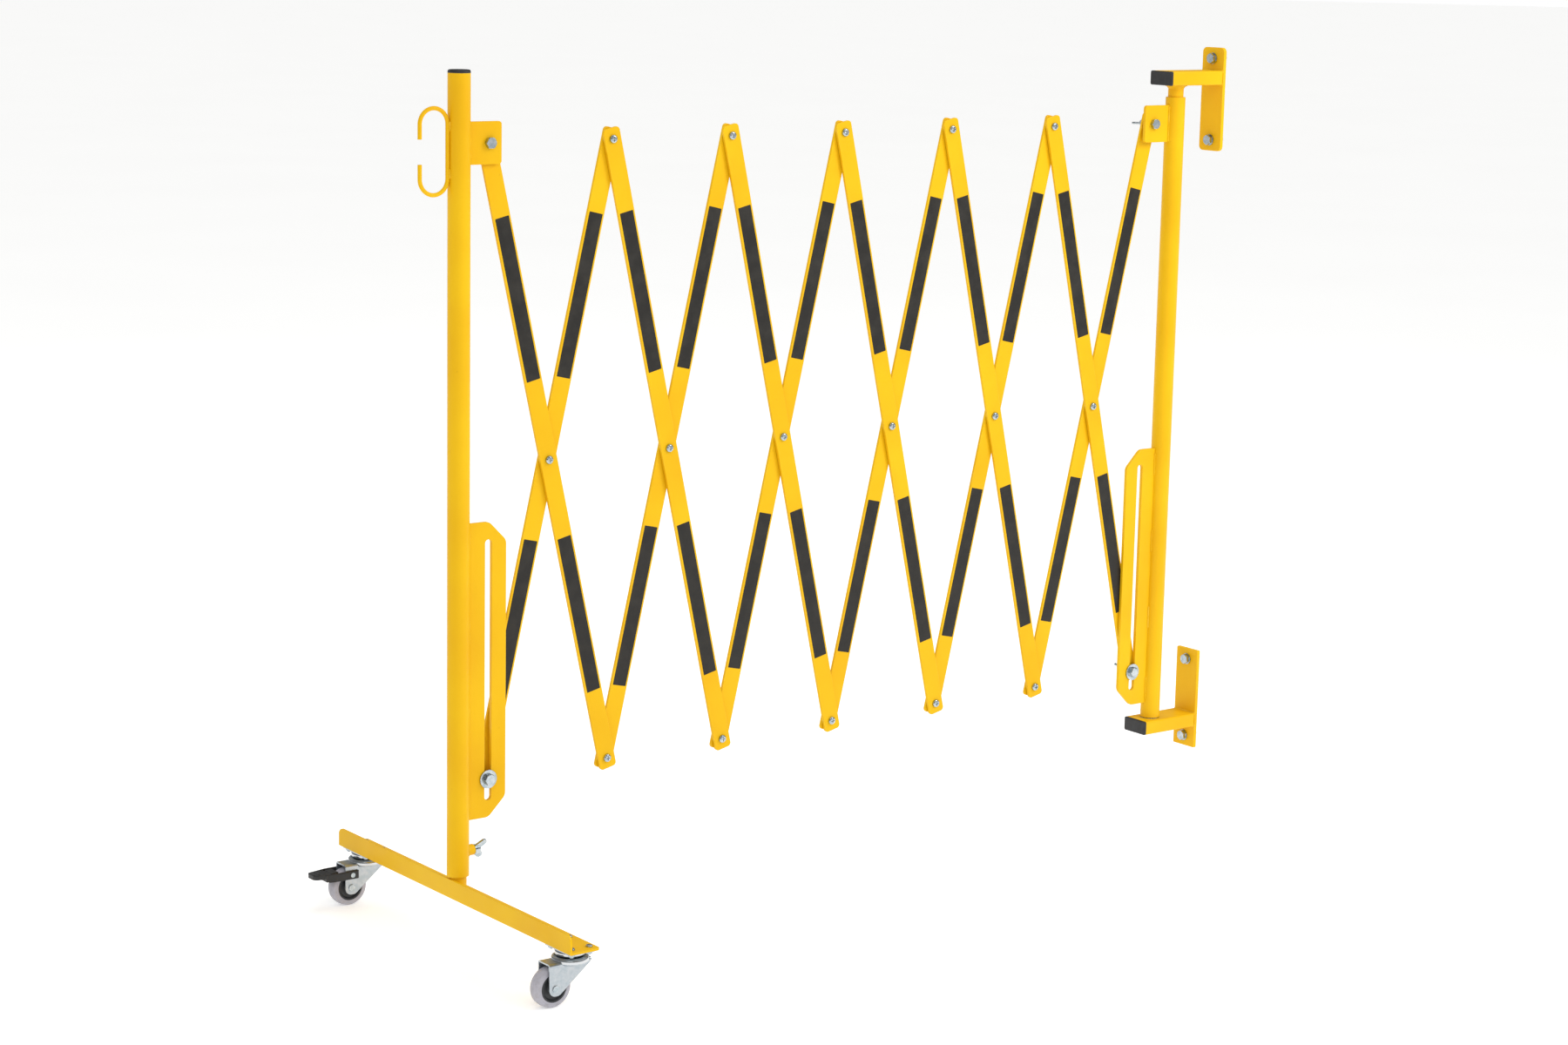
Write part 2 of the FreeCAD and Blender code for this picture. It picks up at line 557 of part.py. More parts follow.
def build_wall_post():
    x = WALL_POST_X
    save("wall_post_tube", ring(TUBE_R, TUBE_BORE_R, vec(x, 0, WALL_TUBE_BOTTOM), Z_AXIS,
                                WALL_TUBE_TOP - WALL_TUBE_BOTTOM))
    save("wall_post_ear", ear_plate(x, -1))
    save("wall_post_slot_plate", slot_plate(x, -1))

    top = vec(LAST_PIVOT_X, PLATE_FRONT_Y, TOP_PIVOT_Z)
    washer_y = REAR_BAR_BACK_Y + FACE_GAP
    nut_y = washer_y + WASHER_THICK + FACE_GAP
    bolt = hex_bolt(M8, top, Y_AXIS, nut_y - PLATE_FRONT_Y + WING_HUB_H + THREAD_OUT)
    spacer = ring(WASHER_R, M8["r"] + THREAD_GAP, vec(top.x, PLATE_BACK_Y, top.z), Y_AXIS,
                  REAR_BAR_Y - FACE_GAP - PLATE_BACK_Y)
    washer = ring(WASHER_R, M8["r"] + THREAD_GAP, vec(top.x, washer_y, top.z), Y_AXIS, WASHER_THICK)
    save("wall_ear_bolt", bolt, spacer, washer)
    save("wall_ear_wing_nut", wing_nut(vec(top.x, nut_y, top.z), 0))

    low_nut_y = FRONT_BAR_BACK_Y + WASHER_THICK + FACE_GAP
    save("wall_slot_bolt", *slot_bolt_front(LAST_PIVOT_X, BOTTOM_PIVOT_Z, FRONT_BAR_Y,
                                            WASHER_THICK + FACE_GAP + WING_HUB_H + THREAD_OUT))
    save("wall_slot_wing_nut", wing_nut(vec(LAST_PIVOT_X, low_nut_y, BOTTOM_PIVOT_Z),
                                        SLOT_WING_LEAN))


# ---- wall brackets ----
def wall_plate(centre_z, corner):
    half_w, half_h = WALL_PLATE_WIDTH / 2, WALL_PLATE_HEIGHT / 2
    plate = plate_yz(rectangle(-half_w, half_w, centre_z - half_h, centre_z + half_h, corner),
                     -WALL_PLATE_THICK, 0)
    plate = soft_rims(plate, PLATE_EDGE, X_AXIS, (-WALL_PLATE_THICK,))
    for way in (-1, 1):
        start = vec(-WALL_PLATE_THICK - 1, 0, centre_z + way * WALL_BOLT_SPACING / 2)
        plate = plate.cut(rod(WALL_HOLE_R, start, X_AXIS, WALL_PLATE_THICK + 2))
    return plate


def wall_bolt(z):
    """Bolt with its washer: a neck that fills the plate's hole, then the thread that goes into the wall."""
    seat = vec(-WALL_PLATE_THICK, 0, z)
    head = hexagon(M8["af"], seat - X_AXIS * WASHER_THICK, X_AXIS * -1, M8["head"])
    head = head.fuse(rod(WASHER_R, seat, X_AXIS * -1, WASHER_THICK))
    neck = rod(WALL_HOLE_R - THREAD_GAP, seat, X_AXIS, WALL_PLATE_THICK)
    thread = rod(M8["r"], vec(0, 0, z), X_AXIS, WALL_STUD_OUT)
    return head.fuse(neck).fuse(thread).removeSplitter()


def arm(centre_z):
    """Rectangular tube from the wall plate's face to beyond the post axis."""
    half_w, half_h = ARM_WIDTH / 2, ARM_HEIGHT / 2
    outer = plate_yz(rectangle(-half_w, half_w, centre_z - half_h, centre_z + half_h, ARM_CORNER),
                     ARM_END_X, -WALL_PLATE_THICK)
    in_w, in_h = half_w - ARM_WALL, half_h - ARM_WALL
    inner = plate_yz(rectangle(-in_w, in_w, centre_z - in_h, centre_z + in_h, ARM_CORNER / 2),
                     ARM_END_X - 1, -WALL_PLATE_THICK + 1)
    return outer.cut(inner)


def arm_cap(centre_z):
    """Black end cap: a plate over the tube's end and a hollow plug inside it."""
    half_w, half_h = ARM_WIDTH / 2, ARM_HEIGHT / 2
    face = plate_yz(rectangle(-half_w, half_w, centre_z - half_h, centre_z + half_h, ARM_CORNER),
                    ARM_END_X - ARM_CAP_THICK, ARM_END_X)
    face = soft_rims(face, ARM_CAP_THICK * 0.4, X_AXIS, (ARM_END_X - ARM_CAP_THICK,))
    plug_w, plug_h = half_w - ARM_WALL - CAP_PLUG_GAP, half_h - ARM_WALL - CAP_PLUG_GAP
    corner = ARM_CORNER / 2
    plug = plate_yz(rectangle(-plug_w, plug_w, centre_z - plug_h, centre_z + plug_h, corner),
                    ARM_END_X, ARM_END_X + CAP_PLUG_DEPTH)
    in_w, in_h = plug_w - CAP_PLUG_WALL, plug_h - CAP_PLUG_WALL
    hollow = box(ARM_END_X, ARM_END_X + CAP_PLUG_DEPTH, -in_w, in_w, centre_z - in_h, centre_z + in_h)
    return face.fuse(plug.cut(hollow))


def build_wall_brackets():
    x = WALL_POST_X
    save("upper_wall_plate", wall_plate(UPPER_PLATE_Z, UPPER_PLATE_CORNER))
    save("lower_wall_plate", wall_plate(LOWER_PLATE_Z, LOWER_PLATE_CORNER))
    save("wall_bolts", *[wall_bolt(z + way * WALL_BOLT_SPACING / 2)
                         for z in (LOWER_PLATE_Z, UPPER_PLATE_Z) for way in (-1, 1)])
    save("upper_arm", arm(UPPER_ARM_Z))
    save("lower_arm", arm(LOWER_ARM_Z))
    save("upper_arm_cap", arm_cap(UPPER_ARM_Z))
    save("lower_arm_cap", arm_cap(LOWER_ARM_Z))

    bore = SPIGOT_R - SPIGOT_WALL
    foot = vec(x, 0, UPPER_ARM_BOTTOM - UPPER_SPIGOT)
    collar = Part.makeCone(SPIGOT_R, SPIGOT_COLLAR_R, SPIGOT_COLLAR_H,
                           vec(x, 0, UPPER_ARM_BOTTOM - SPIGOT_COLLAR_H), Z_AXIS)
    upper = rod(SPIGOT_R, foot, Z_AXIS, UPPER_SPIGOT).fuse(collar)
    save("upper_spigot", upper.cut(rod(bore, foot, Z_AXIS, UPPER_SPIGOT)).removeSplitter())
    reach = LOWER_SPIGOT + POST_WASHER_THICK
    save("lower_spigot", ring(SPIGOT_R, bore, vec(x, 0, LOWER_ARM_TOP), Z_AXIS, reach))
    save("wall_post_washer", ring(TUBE_R, SPIGOT_R + CAP_PLUG_GAP, vec(x, 0, LOWER_ARM_TOP), Z_AXIS,
                                  POST_WASHER_THICK))


# ---- foot ----
def foot_bar():
    """Angle bar along Y: a standing flange on the outer side and a lying flange towards the trellis."""
    end = FOOT_LENGTH / 2
    x0, x1 = FOOT_BACK_X, FOOT_BACK_X + FLANGE_OUT
    z0 = CASTER_HEIGHT
    lying = plate_xy([(x0, -end, 0), (x1, -end, FLANGE_CORNER), (x1, end, FLANGE_CORNER), (x0, end, 0)],
                     z0, z0 + FLANGE_THICK)
    standing = plate_yz([(-end, z0, 0), (end, z0, 0), (end, z0 + FLANGE_UP, FLANGE_CLIP),
                         (-end, z0 + FLANGE_UP, FLANGE_CLIP)], x0, x0 + FLANGE_THICK)
    bar = lying.fuse(standing).removeSplitter()
    heel = [e for e in bar.Edges
            if all(abs(v.X - x0) < 1e-6 and abs(v.Z - z0) < 1e-6 for v in e.Vertexes)]
    bar = bar.makeFillet(FLANGE_THICK * 0.5, heel)
    for x, y in caster_bolt_places():
        bar = bar.cut(rod(CASTER_BOLT_R + BOLT_HOLE_GAP, vec(x, y, z0 - 1), Z_AXIS, FLANGE_THICK + 2))
    return bar


def caster_bolt_places():
    return [(CASTER_X + i * CASTER_BOLT_X / 2, side * CASTER_Y + j * CASTER_BOLT_Y / 2)
            for side in (-1, 1) for i in (-1, 1) for j in (-1, 1)]


def caster_bolt(x, y):
    """Low round-headed bolt on the lying flange, with its nut under the caster's plate."""
    head = rod(CASTER_HEAD_R, vec(x, y, FOOT_TOP_Z), Z_AXIS, CASTER_HEAD_H)
    rim = [e for e in head.Edges if e.Curve.TypeId == "Part::GeomCircle"
           and e.Curve.Center.z > FOOT_TOP_Z + 1]
    head = head.makeFillet(CASTER_HEAD_H * 0.7, rim)
    low = PLATE_UNDER - CASTER_NUT_H - THREAD_OUT
    shank = rod(CASTER_BOLT_R, vec(x, y, low), Z_AXIS, FOOT_TOP_Z - low)
    nut = hexagon(CASTER_NUT_AF, vec(x, y, PLATE_UNDER), Z_AXIS * -1, CASTER_NUT_H)
    nut = nut.cut(rod(CASTER_BOLT_R + THREAD_GAP, vec(x, y, low), Z_AXIS, FOOT_TOP_Z - low))
    return [head.fuse(shank).removeSplitter(), nut]


def build_foot():
    base = vec(MOBILE_POST_X, 0, FOOT_TOP_Z)
    height = MOBILE_TUBE_BOTTOM + FOOT_SPIGOT_IN - FOOT_TOP_Z
    save("foot_spigot", ring(SPIGOT_R, SPIGOT_R - SPIGOT_WALL, base, Z_AXIS, height))
    save("foot_bar", foot_bar())
    save("caster_bolts", *[s for x, y in caster_bolt_places() for s in caster_bolt(x, y)])


# ---- casters ----
def race_half(x, y, radius, z0, z1):
    """One rounded half of the swivel race."""
    cup = rod(radius, vec(x, y, z0), Z_AXIS, z1 - z0)
    rims = [e for e in cup.Edges if e.Curve.TypeId == "Part::GeomCircle"]
    return cup.makeFillet((z1 - z0) * 0.42, rims)


def caster_plate(y):
    """Top plate with the fixed cup of the race and the king pin."""
    half_x, half_y = CASTER_PLATE_X / 2, CASTER_PLATE_Y / 2
    plate = plate_xy(rectangle(CASTER_X - half_x, CASTER_X + half_x, y - half_y, y + half_y,
                               CASTER_PLATE_CORNER), PLATE_UNDER, CASTER_HEIGHT)
    for x, bolt_y in caster_bolt_places():
        plate = plate.cut(rod(CASTER_BOLT_R + BOLT_HOLE_GAP, vec(x, bolt_y, PLATE_UNDER - 1), Z_AXIS,
                              CASTER_PLATE_THICK + 2))
    cup = race_half(CASTER_X, y, RACE_R, CROWN_TOP + RING_ABOVE + RACE_GAP, PLATE_UNDER)
    pin_low = CROWN_TOP - FORK_THICK - CASTER_NUT_H
    pin = rod(KINGPIN_R, vec(CASTER_X, y, pin_low), Z_AXIS, PLATE_UNDER - pin_low)
    button = rod(KINGPIN_R + 2, vec(CASTER_X, y, pin_low), Z_AXIS, CASTER_NUT_H - FACE_GAP)
    return plate.fuse(cup).fuse(pin).fuse(button).removeSplitter()


def fork(y):
    """Pressed fork: crown with the turning cup, and two legs swept back to the axle."""
    front, back = CASTER_X + FORK_FRONT, AXLE_X - FORK_BACK
    half = FORK_OUTSIDE / 2
    low = WHEEL_R - FORK_FOOT_R
    side_view = plate_xz([(back, low, FORK_FOOT_R), (AXLE_X + FORK_TOE, low, FORK_FOOT_R - 1),
                          (front, CROWN_TOP - FORK_LIP, FORK_LIP), (front, CROWN_TOP, 0),
                          (back, CROWN_TOP, 0)], y - half, y + half)
    crown_edges = [e for e in side_view.Edges
                   if all(abs(v.Z - CROWN_TOP) < 1e-6 for v in e.Vertexes)
                   and abs(e.Vertexes[0].Y - e.Vertexes[-1].Y) < 1e-6]
    shell = side_view.makeFillet(FORK_BEND, crown_edges)
    room = box(back - 1, front + 1, y - FORK_INSIDE / 2, y + FORK_INSIDE / 2, low - 1,
               CROWN_TOP - FORK_THICK)
    shell = shell.cut(room)
    turning = race_half(CASTER_X, y, RING_R, CROWN_TOP - RING_BELOW, CROWN_TOP + RING_ABOVE)
    turning = turning.cut(rod(RING_BORE_R, vec(CASTER_X, y, low), Z_AXIS, CASTER_HEIGHT))
    shell = shell.fuse(turning)
    pin_way = rod(KINGPIN_R + FACE_GAP, vec(CASTER_X, y, low), Z_AXIS, CASTER_HEIGHT)
    axle_way = rod(AXLE_R, vec(AXLE_X, y - half - 1, WHEEL_R), Y_AXIS, 2 * half + 2)
    return shell.cut(pin_way).cut(axle_way).removeSplitter()


def axle(y):
    """Riveted axle with a low head outside each leg."""
    half = FORK_OUTSIDE / 2
    pin = rod(AXLE_R, vec(AXLE_X, y - half, WHEEL_R), Y_AXIS, 2 * half)
    for start in (y - half - AXLE_HEAD_H, y + half):
        pin = pin.fuse(rod(AXLE_HEAD_R, vec(AXLE_X, start, WHEEL_R), Y_AXIS, AXLE_HEAD_H))
    return pin.removeSplitter()


def hub(y):
    """Wheel centre with a dished web on each side and a boss that keeps it between the legs."""
    rim_r, half = WHEEL_R - TYRE_THICK, WHEEL_WIDTH / 2
    body = rod(rim_r, vec(AXLE_X, y - half, WHEEL_R), Y_AXIS, 2 * half)
    for start in (y - half, y + half - HUB_DISH):
        body = body.cut(ring(rim_r - 2.5, HUB_BOSS_R, vec(AXLE_X, start, WHEEL_R), Y_AXIS, HUB_DISH))
    boss_half = FORK_INSIDE / 2 - FACE_GAP
    body = body.fuse(rod(HUB_BOSS_R - 1, vec(AXLE_X, y - boss_half, WHEEL_R), Y_AXIS, 2 * boss_half))
    bore = rod(AXLE_R + TURNING_THREAD_GAP, vec(AXLE_X, y - boss_half, WHEEL_R), Y_AXIS, 2 * boss_half)
    return body.cut(bore).removeSplitter()


def tyre(y):
    half = WHEEL_WIDTH / 2
    band = rod(WHEEL_R, vec(AXLE_X, y - half, WHEEL_R), Y_AXIS, WHEEL_WIDTH)
    rims = [e for e in band.Edges if e.Curve.TypeId == "Part::GeomCircle"]
    band = band.makeFillet(TYRE_EDGE, rims)
    return band.cut(rod(WHEEL_R - TYRE_THICK, vec(AXLE_X, y - half, WHEEL_R), Y_AXIS, WHEEL_WIDTH))


def brake_pedal(y):
    """U-shaped pedal outside the fork's legs, with a tread plate and a shoe behind the wheel."""
    pivot_z = WHEEL_R + PEDAL_PIVOT_UP
    inside = FORK_OUTSIDE / 2 + FACE_GAP
    outside = inside + PEDAL_ARM_THICK
    half_h = PEDAL_ARM_HEIGHT / 2
    tip = AXLE_X - PEDAL_TIP
    wheel_back = AXLE_X - WHEEL_R
    plan = [(AXLE_X + PEDAL_FRONT, -outside, 2), (AXLE_X + PEDAL_FRONT, outside, 2),
            (wheel_back, outside, 8), (tip, outside - 6, 7), (tip, -outside + 6, 7),
            (wheel_back, -outside, 8)]
    plan = [(u, v + y, r) for u, v, r in plan]
    block = plate_xy(plan, pivot_z - half_h, pivot_z + half_h)
    edge_x = AXLE_X - math.sqrt((WHEEL_R + SHOE_GAP + SHOE_THICK) ** 2 - (PEDAL_PIVOT_UP - half_h) ** 2)
    slim = box(tip - 1, edge_x, y - outside - 1, y + outside + 1, pivot_z - half_h - 1, pivot_z - 0.5)
    block = block.cut(slim)
    between = box(edge_x - 1, AXLE_X + PEDAL_FRONT + 1, y - inside, y + inside, pivot_z - half_h - 1,
                  pivot_z + half_h + 1)
    shoe_half = FORK_INSIDE / 2 - 1
    shoe = rod(WHEEL_R + SHOE_GAP + SHOE_THICK, vec(AXLE_X, y - shoe_half, WHEEL_R), Y_AXIS, 2 * shoe_half)
    shoe = shoe.common(box(AXLE_X - PEDAL_TIP, AXLE_X - WHEEL_R * 0.6, y - inside, y + inside,
                           pivot_z - half_h, pivot_z + half_h))
    bridge = box(edge_x - 4, AXLE_X - WHEEL_R - SHOE_GAP, y - inside - 1, y + inside + 1,
                 pivot_z - half_h + 1, pivot_z + half_h - 1)
    ridge_half = outside - 9
    ridge = rod(PEDAL_RIDGE_R, vec(tip + 9, y - ridge_half, pivot_z + half_h - 0.6), Y_AXIS, 2 * ridge_half)
    rim = rod(PEDAL_RIDGE_R, vec(tip + PEDAL_RIDGE_R, y - ridge_half, pivot_z + half_h - 0.8), Y_AXIS,
              2 * ridge_half)
    pedal = block.cut(between).fuse(shoe).fuse(bridge).fuse(ridge).fuse(rim)
    pedal = pedal.cut(rod(WHEEL_R + SHOE_GAP, vec(AXLE_X, y - inside, WHEEL_R), Y_AXIS, 2 * inside))
    for side in (-1, 1):
        pedal = pedal.cut(rod(PEDAL_PIVOT_R, vec(AXLE_X, y + side * inside, pivot_z),
                              Y_AXIS * side, PEDAL_ARM_THICK))
    return pedal.removeSplitter()


def pedal_pins(y):
    """Stub rivets that hold the pedal's arms to the legs."""
    pivot_z = WHEEL_R + PEDAL_PIVOT_UP
    leg = FORK_OUTSIDE / 2
    length = FACE_GAP + PEDAL_ARM_THICK
    pins = []
    for side in (-1, 1):
        start = vec(AXLE_X, y + side * leg, pivot_z)
        pin = rod(PEDAL_PIVOT_R - TURNING_THREAD_GAP, start, Y_AXIS * side, length + PEDAL_PIVOT_HEAD)
        head = rod(PEDAL_PIVOT_R + 0.8, start + Y_AXIS * side * (length + TURNING_THREAD_GAP),
                   Y_AXIS * side, PEDAL_PIVOT_HEAD)
        pins.append(pin.fuse(head).removeSplitter())
    return pins


def build_casters():
    for name, y in (("front", -CASTER_Y), ("rear", CASTER_Y)):
        save(f"{name}_caster_plate", caster_plate(y))
        save(f"{name}_fork", fork(y))
        save(f"{name}_axle", axle(y))
        save(f"{name}_hub", hub(y))
        save(f"{name}_tyre", tyre(y))
    save("brake_pedal", brake_pedal(CASTER_Y))
    save("brake_pins", *pedal_pins(CASTER_Y))


def main():
    os.makedirs("parts", exist_ok=True)
    build_wall_brackets()
    build_wall_post()
    build_trellis()
    build_mobile_post()
    build_foot()
    build_casters()


main()
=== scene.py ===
"""Looks of a wall-mounted trellis barrier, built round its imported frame.

Every length is in metres and every piece stands in the frame's own axes: +X runs along the trellis
to the wall, +Y points away from the bolt heads and +Z is up.  The wall plane is x = 0.
"""
import json
import logging
import math
from dataclasses import dataclass, field
from enum import Enum
from typing import Any, Callable, Protocol, Sequence

import bmesh
import bpy
from mathutils import Matrix, Vector

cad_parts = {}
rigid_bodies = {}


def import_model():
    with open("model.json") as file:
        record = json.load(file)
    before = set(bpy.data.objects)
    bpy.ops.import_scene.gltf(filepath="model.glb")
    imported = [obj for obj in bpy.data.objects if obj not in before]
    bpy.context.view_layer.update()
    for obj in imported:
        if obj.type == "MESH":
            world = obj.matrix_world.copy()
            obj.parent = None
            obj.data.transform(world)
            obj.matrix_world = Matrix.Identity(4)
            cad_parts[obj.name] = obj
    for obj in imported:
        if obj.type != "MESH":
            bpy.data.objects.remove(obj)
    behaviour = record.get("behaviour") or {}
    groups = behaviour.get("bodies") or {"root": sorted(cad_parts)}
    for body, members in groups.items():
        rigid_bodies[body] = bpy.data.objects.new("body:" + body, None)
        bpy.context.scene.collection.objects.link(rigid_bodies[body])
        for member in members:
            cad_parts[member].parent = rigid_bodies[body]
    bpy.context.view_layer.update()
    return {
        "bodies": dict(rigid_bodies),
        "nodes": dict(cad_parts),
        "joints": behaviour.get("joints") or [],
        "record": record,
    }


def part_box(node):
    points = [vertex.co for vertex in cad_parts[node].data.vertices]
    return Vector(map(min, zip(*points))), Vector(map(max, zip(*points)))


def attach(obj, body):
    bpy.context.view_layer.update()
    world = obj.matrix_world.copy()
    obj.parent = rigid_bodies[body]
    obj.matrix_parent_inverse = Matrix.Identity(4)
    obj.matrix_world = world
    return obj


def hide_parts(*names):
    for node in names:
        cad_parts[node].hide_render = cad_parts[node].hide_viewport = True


LOG = logging.getLogger("barrier")
MM = 0.001
ALONG = Vector((1, 0, 0))
ACROSS = Vector((0, 1, 0))
UP = Vector((0, 0, 1))
SAME_POINT = 1e-6       # closer points are one point

Colour = tuple[float, float, float, float]
Frame = dict[str, Any]
Mesh = bpy.types.Mesh
Pairs = tuple[tuple[float, float], ...]
Socket = bpy.types.NodeSocket
Tree = bpy.types.NodeTree


# ---- small helpers
def linear(code: str) -> Colour:
    """Turns an sRGB hex colour into linear light.

    Args:
        code: Colour such as "#F6BB16".

    Returns:
        Red, green, blue and alpha in linear light.
    """
    parts = [int(code[i:i + 2], 16) / 255 for i in (1, 3, 5)]
    red, green, blue = (c / 12.92 if c <= 0.04045 else ((c + 0.055) / 1.055) ** 2.4 for c in parts)
    return red, green, blue, 1.0


def add_node(tree: Tree, kind: str, settings: dict[str, Any] | None = None,
             inputs: dict[Any, Any] | None = None) -> bpy.types.Node:
    """Adds one node with its settings and links.

    Args:
        tree: Tree that gets the node.
        kind: The node's type name.
        settings: Attributes to set on the node.
        inputs: Input name or index to a value, or to an output socket to link from.

    Returns:
        The new node.
    """
    node = tree.nodes.new(kind)
    for name, value in (settings or {}).items():
        setattr(node, name, value)
    for key, value in (inputs or {}).items():
        if isinstance(value, Socket):
            tree.links.new(value, node.inputs[key])
        else:
            node.inputs[key].default_value = value
    return node


def joint_place(frame: Frame, name: str) -> Vector:
    """Point on a joint's axis at rest.

    Args:
        name: The joint's name.

    Returns:
        The point in metres.
    """
    return next(Vector(j["pos_m"]) for j in frame["joints"] if j["name"] == name)


def add_object(name: str, data: bpy.types.ID) -> bpy.types.Object:
    """Puts a mesh, light or camera into the scene.

    Args:
        name: The object's name.
        data: What it holds.

    Returns:
        The object.
    """
    made = bpy.data.objects.new(name, data)
    bpy.context.scene.collection.objects.link(made)
    return made


def settled(holder: bpy.types.Object) -> Mesh:
    """The mesh that an object's modifiers give; the object is removed.

    Args:
        holder: The object.

    Returns:
        The mesh.
    """
    base = holder.data
    depsgraph = bpy.context.evaluated_depsgraph_get()
    result = bpy.data.meshes.new_from_object(holder.evaluated_get(depsgraph))
    holder.modifiers.clear()
    bpy.data.objects.remove(holder)
    bpy.data.meshes.remove(base)
    return result


# ---- finishes
@dataclass(frozen=True)
class Pattern:
    """Noise of one real size in mm, and the part of its range that shows."""

    size_mm: float
    detail: float = 3.0
    low: float = 0.3
    high: float = 0.7
    fine: float = 0.5


@dataclass(frozen=True)
class Relief:
    """Noise of one real size in mm that stands up from the surface by a real depth in mm."""

    size_mm: float
    detail: float
    depth_mm: float
    strength: float


@dataclass(frozen=True)
class Coat:
    """A material while it is made: its tree, its shader and the place on the object."""

    tree: Tree
    shader: bpy.types.Node
    place: Socket
    flat_match: float = 0.995   # match of the rolled normal and the face's own, on a flat face
    edge_match: float = 0.86    # and on a sharp edge

    def patches(self, pattern: Pattern, low: float, high: float) -> Socket:
        """A value that wanders in patches over the surface.

        Args:
            pattern: Size and range of the patches.
            low: Value at the low end of the pattern's range.
            high: Value at its high end.

        Returns:
            The value.
        """
        cloud = add_node(self.tree, "ShaderNodeTexNoise", None,
                         {"Vector": self.place, "Scale": 1 / (pattern.size_mm * MM),
                          "Detail": pattern.detail, "Roughness": pattern.fine})
        spread = add_node(self.tree, "ShaderNodeMapRange", None,
                          {0: cloud.outputs[0], 1: pattern.low, 2: pattern.high, 3: low, 4: high})
        return spread.outputs[0]

    def edges(self, width_mm: float) -> Socket:
        """Mask that is 1 on sharp outer edges and 0 on flat faces.

        Args:
            width_mm: Width of the edge that shows.

        Returns:
            The mask.
        """
        rolled = add_node(self.tree, "ShaderNodeBevel", {"samples": 4}, {"Radius": width_mm * MM})
        flat = add_node(self.tree, "ShaderNodeNewGeometry")
        match = add_node(self.tree, "ShaderNodeVectorMath", {"operation": "DOT_PRODUCT"},
                         {0: rolled.outputs[0], 1: flat.outputs["Normal"]})
        mask = add_node(self.tree, "ShaderNodeMapRange", None,
                        {0: match.outputs["Value"], 1: self.flat_match, 2: self.edge_match, 3: 0.0, 4: 1.0})
        return mask.outputs[0]

    def layers(self, base: str, *over: tuple[Socket, str]) -> None:
        """Colours laid over each other.

        Args:
            base: Lowest colour, sRGB hex.
            over: Mask and colour of each layer above it.
        """
        under: Any = linear(base)
        for mask, colour in over:
            mixed = add_node(self.tree, "ShaderNodeMix", {"data_type": "RGBA"},
                             {0: mask, 6: under, 7: linear(colour)})
            under = mixed.outputs[2]
        self.join("Base Color", under)

    def relief(self, *layers: Relief, rolled_mm: float = 0.0) -> None:
        """Fine relief over edges that are rolled over, so that they catch the light.

        Args:
            layers: Relief from the lowest to the highest.
            rolled_mm: Radius of the rolled edges, or 0 to leave them.
        """
        under = None
        if rolled_mm:
            rolled = add_node(self.tree, "ShaderNodeBevel", {"samples": 6}, {"Radius": rolled_mm * MM})
            under = rolled.outputs[0]
        for layer in layers:
            height = add_node(self.tree, "ShaderNodeTexNoise", None,
                              {"Vector": self.place, "Scale": 1 / (layer.size_mm * MM),
                               "Detail": layer.detail, "Roughness": 0.5})
            inputs = {"Height": height.outputs[0], "Distance": layer.depth_mm * MM,
                      "Strength": layer.strength}
            if under is not None:
                inputs["Normal"] = under
            under = add_node(self.tree, "ShaderNodeBump", None, inputs).outputs[0]
        self.join("Normal", under)

    def join(self, name: str, socket: Socket) -> None:
        """Links a socket to the shader's input of that name."""
        self.tree.links.new(socket, self.shader.inputs[name])

    def even(self, **values: Any) -> None:
        """Sets shader inputs that are the same all over; a name's spaces are written as _."""
        for name, value in values.items():
            self.shader.inputs[name.replace("_", " ")].default_value = value


class Finish(Protocol):
    """What every finish offers."""

    name: str

    def paint(self, coat: Coat) -> None:
        """Wires the finish's pattern into the shader."""


@dataclass(frozen=True)
class PowderCoat:
    """Polyester powder coat on steel, sprayed and baked: satin, with a fine orange peel that breaks
    up the highlight, a faint cloudiness where the film is thicker, and rubbed edges."""

    name: str = "yellow_powder_coat"
    colour: str = "#EABA10"
    thick: str = "#E3AD0B"
    worn: str = "#F8D658"
    grime: str = "#B98412"
    film: Pattern = Pattern(120, 4, 0.35, 0.7)          # thicker and thinner film
    specks: Pattern = Pattern(9, 5, 0.66, 0.78, 0.7)    # handling marks
    chafe: Pattern = Pattern(14, 3, 0.45, 0.62)         # where the edges are rubbed
    cure: Pattern = Pattern(35)                         # duller and glossier areas
    peel: Relief = Relief(1.3, 2, 0.03, 0.55)           # orange peel
    waves: Relief = Relief(28, 1, 0.12, 0.35)           # unevenness of the steel beneath
    edge_mm: float = 1.2
    roll_mm: float = 0.5

    def paint(self, coat: Coat) -> None:
        """Wires colour, roughness and orange peel.

        Args:
            coat: The material.
        """
        wear = add_node(coat.tree, "ShaderNodeMath", {"operation": "MULTIPLY"},
                        {0: coat.edges(self.edge_mm), 1: coat.patches(self.chafe, 0.0, 0.55)})
        coat.layers(self.colour, (coat.patches(self.film, 0.0, 1.0), self.thick),
                    (coat.patches(self.specks, 0.0, 0.35), self.grime), (wear.outputs[0], self.worn))
        coat.join("Roughness", coat.patches(self.cure, 0.34, 0.46))
        coat.relief(self.peel, self.waves, rolled_mm=self.roll_mm)
        coat.even(Specular_IOR_Level=0.13, Coat_Weight=0.03, Coat_Roughness=0.22)


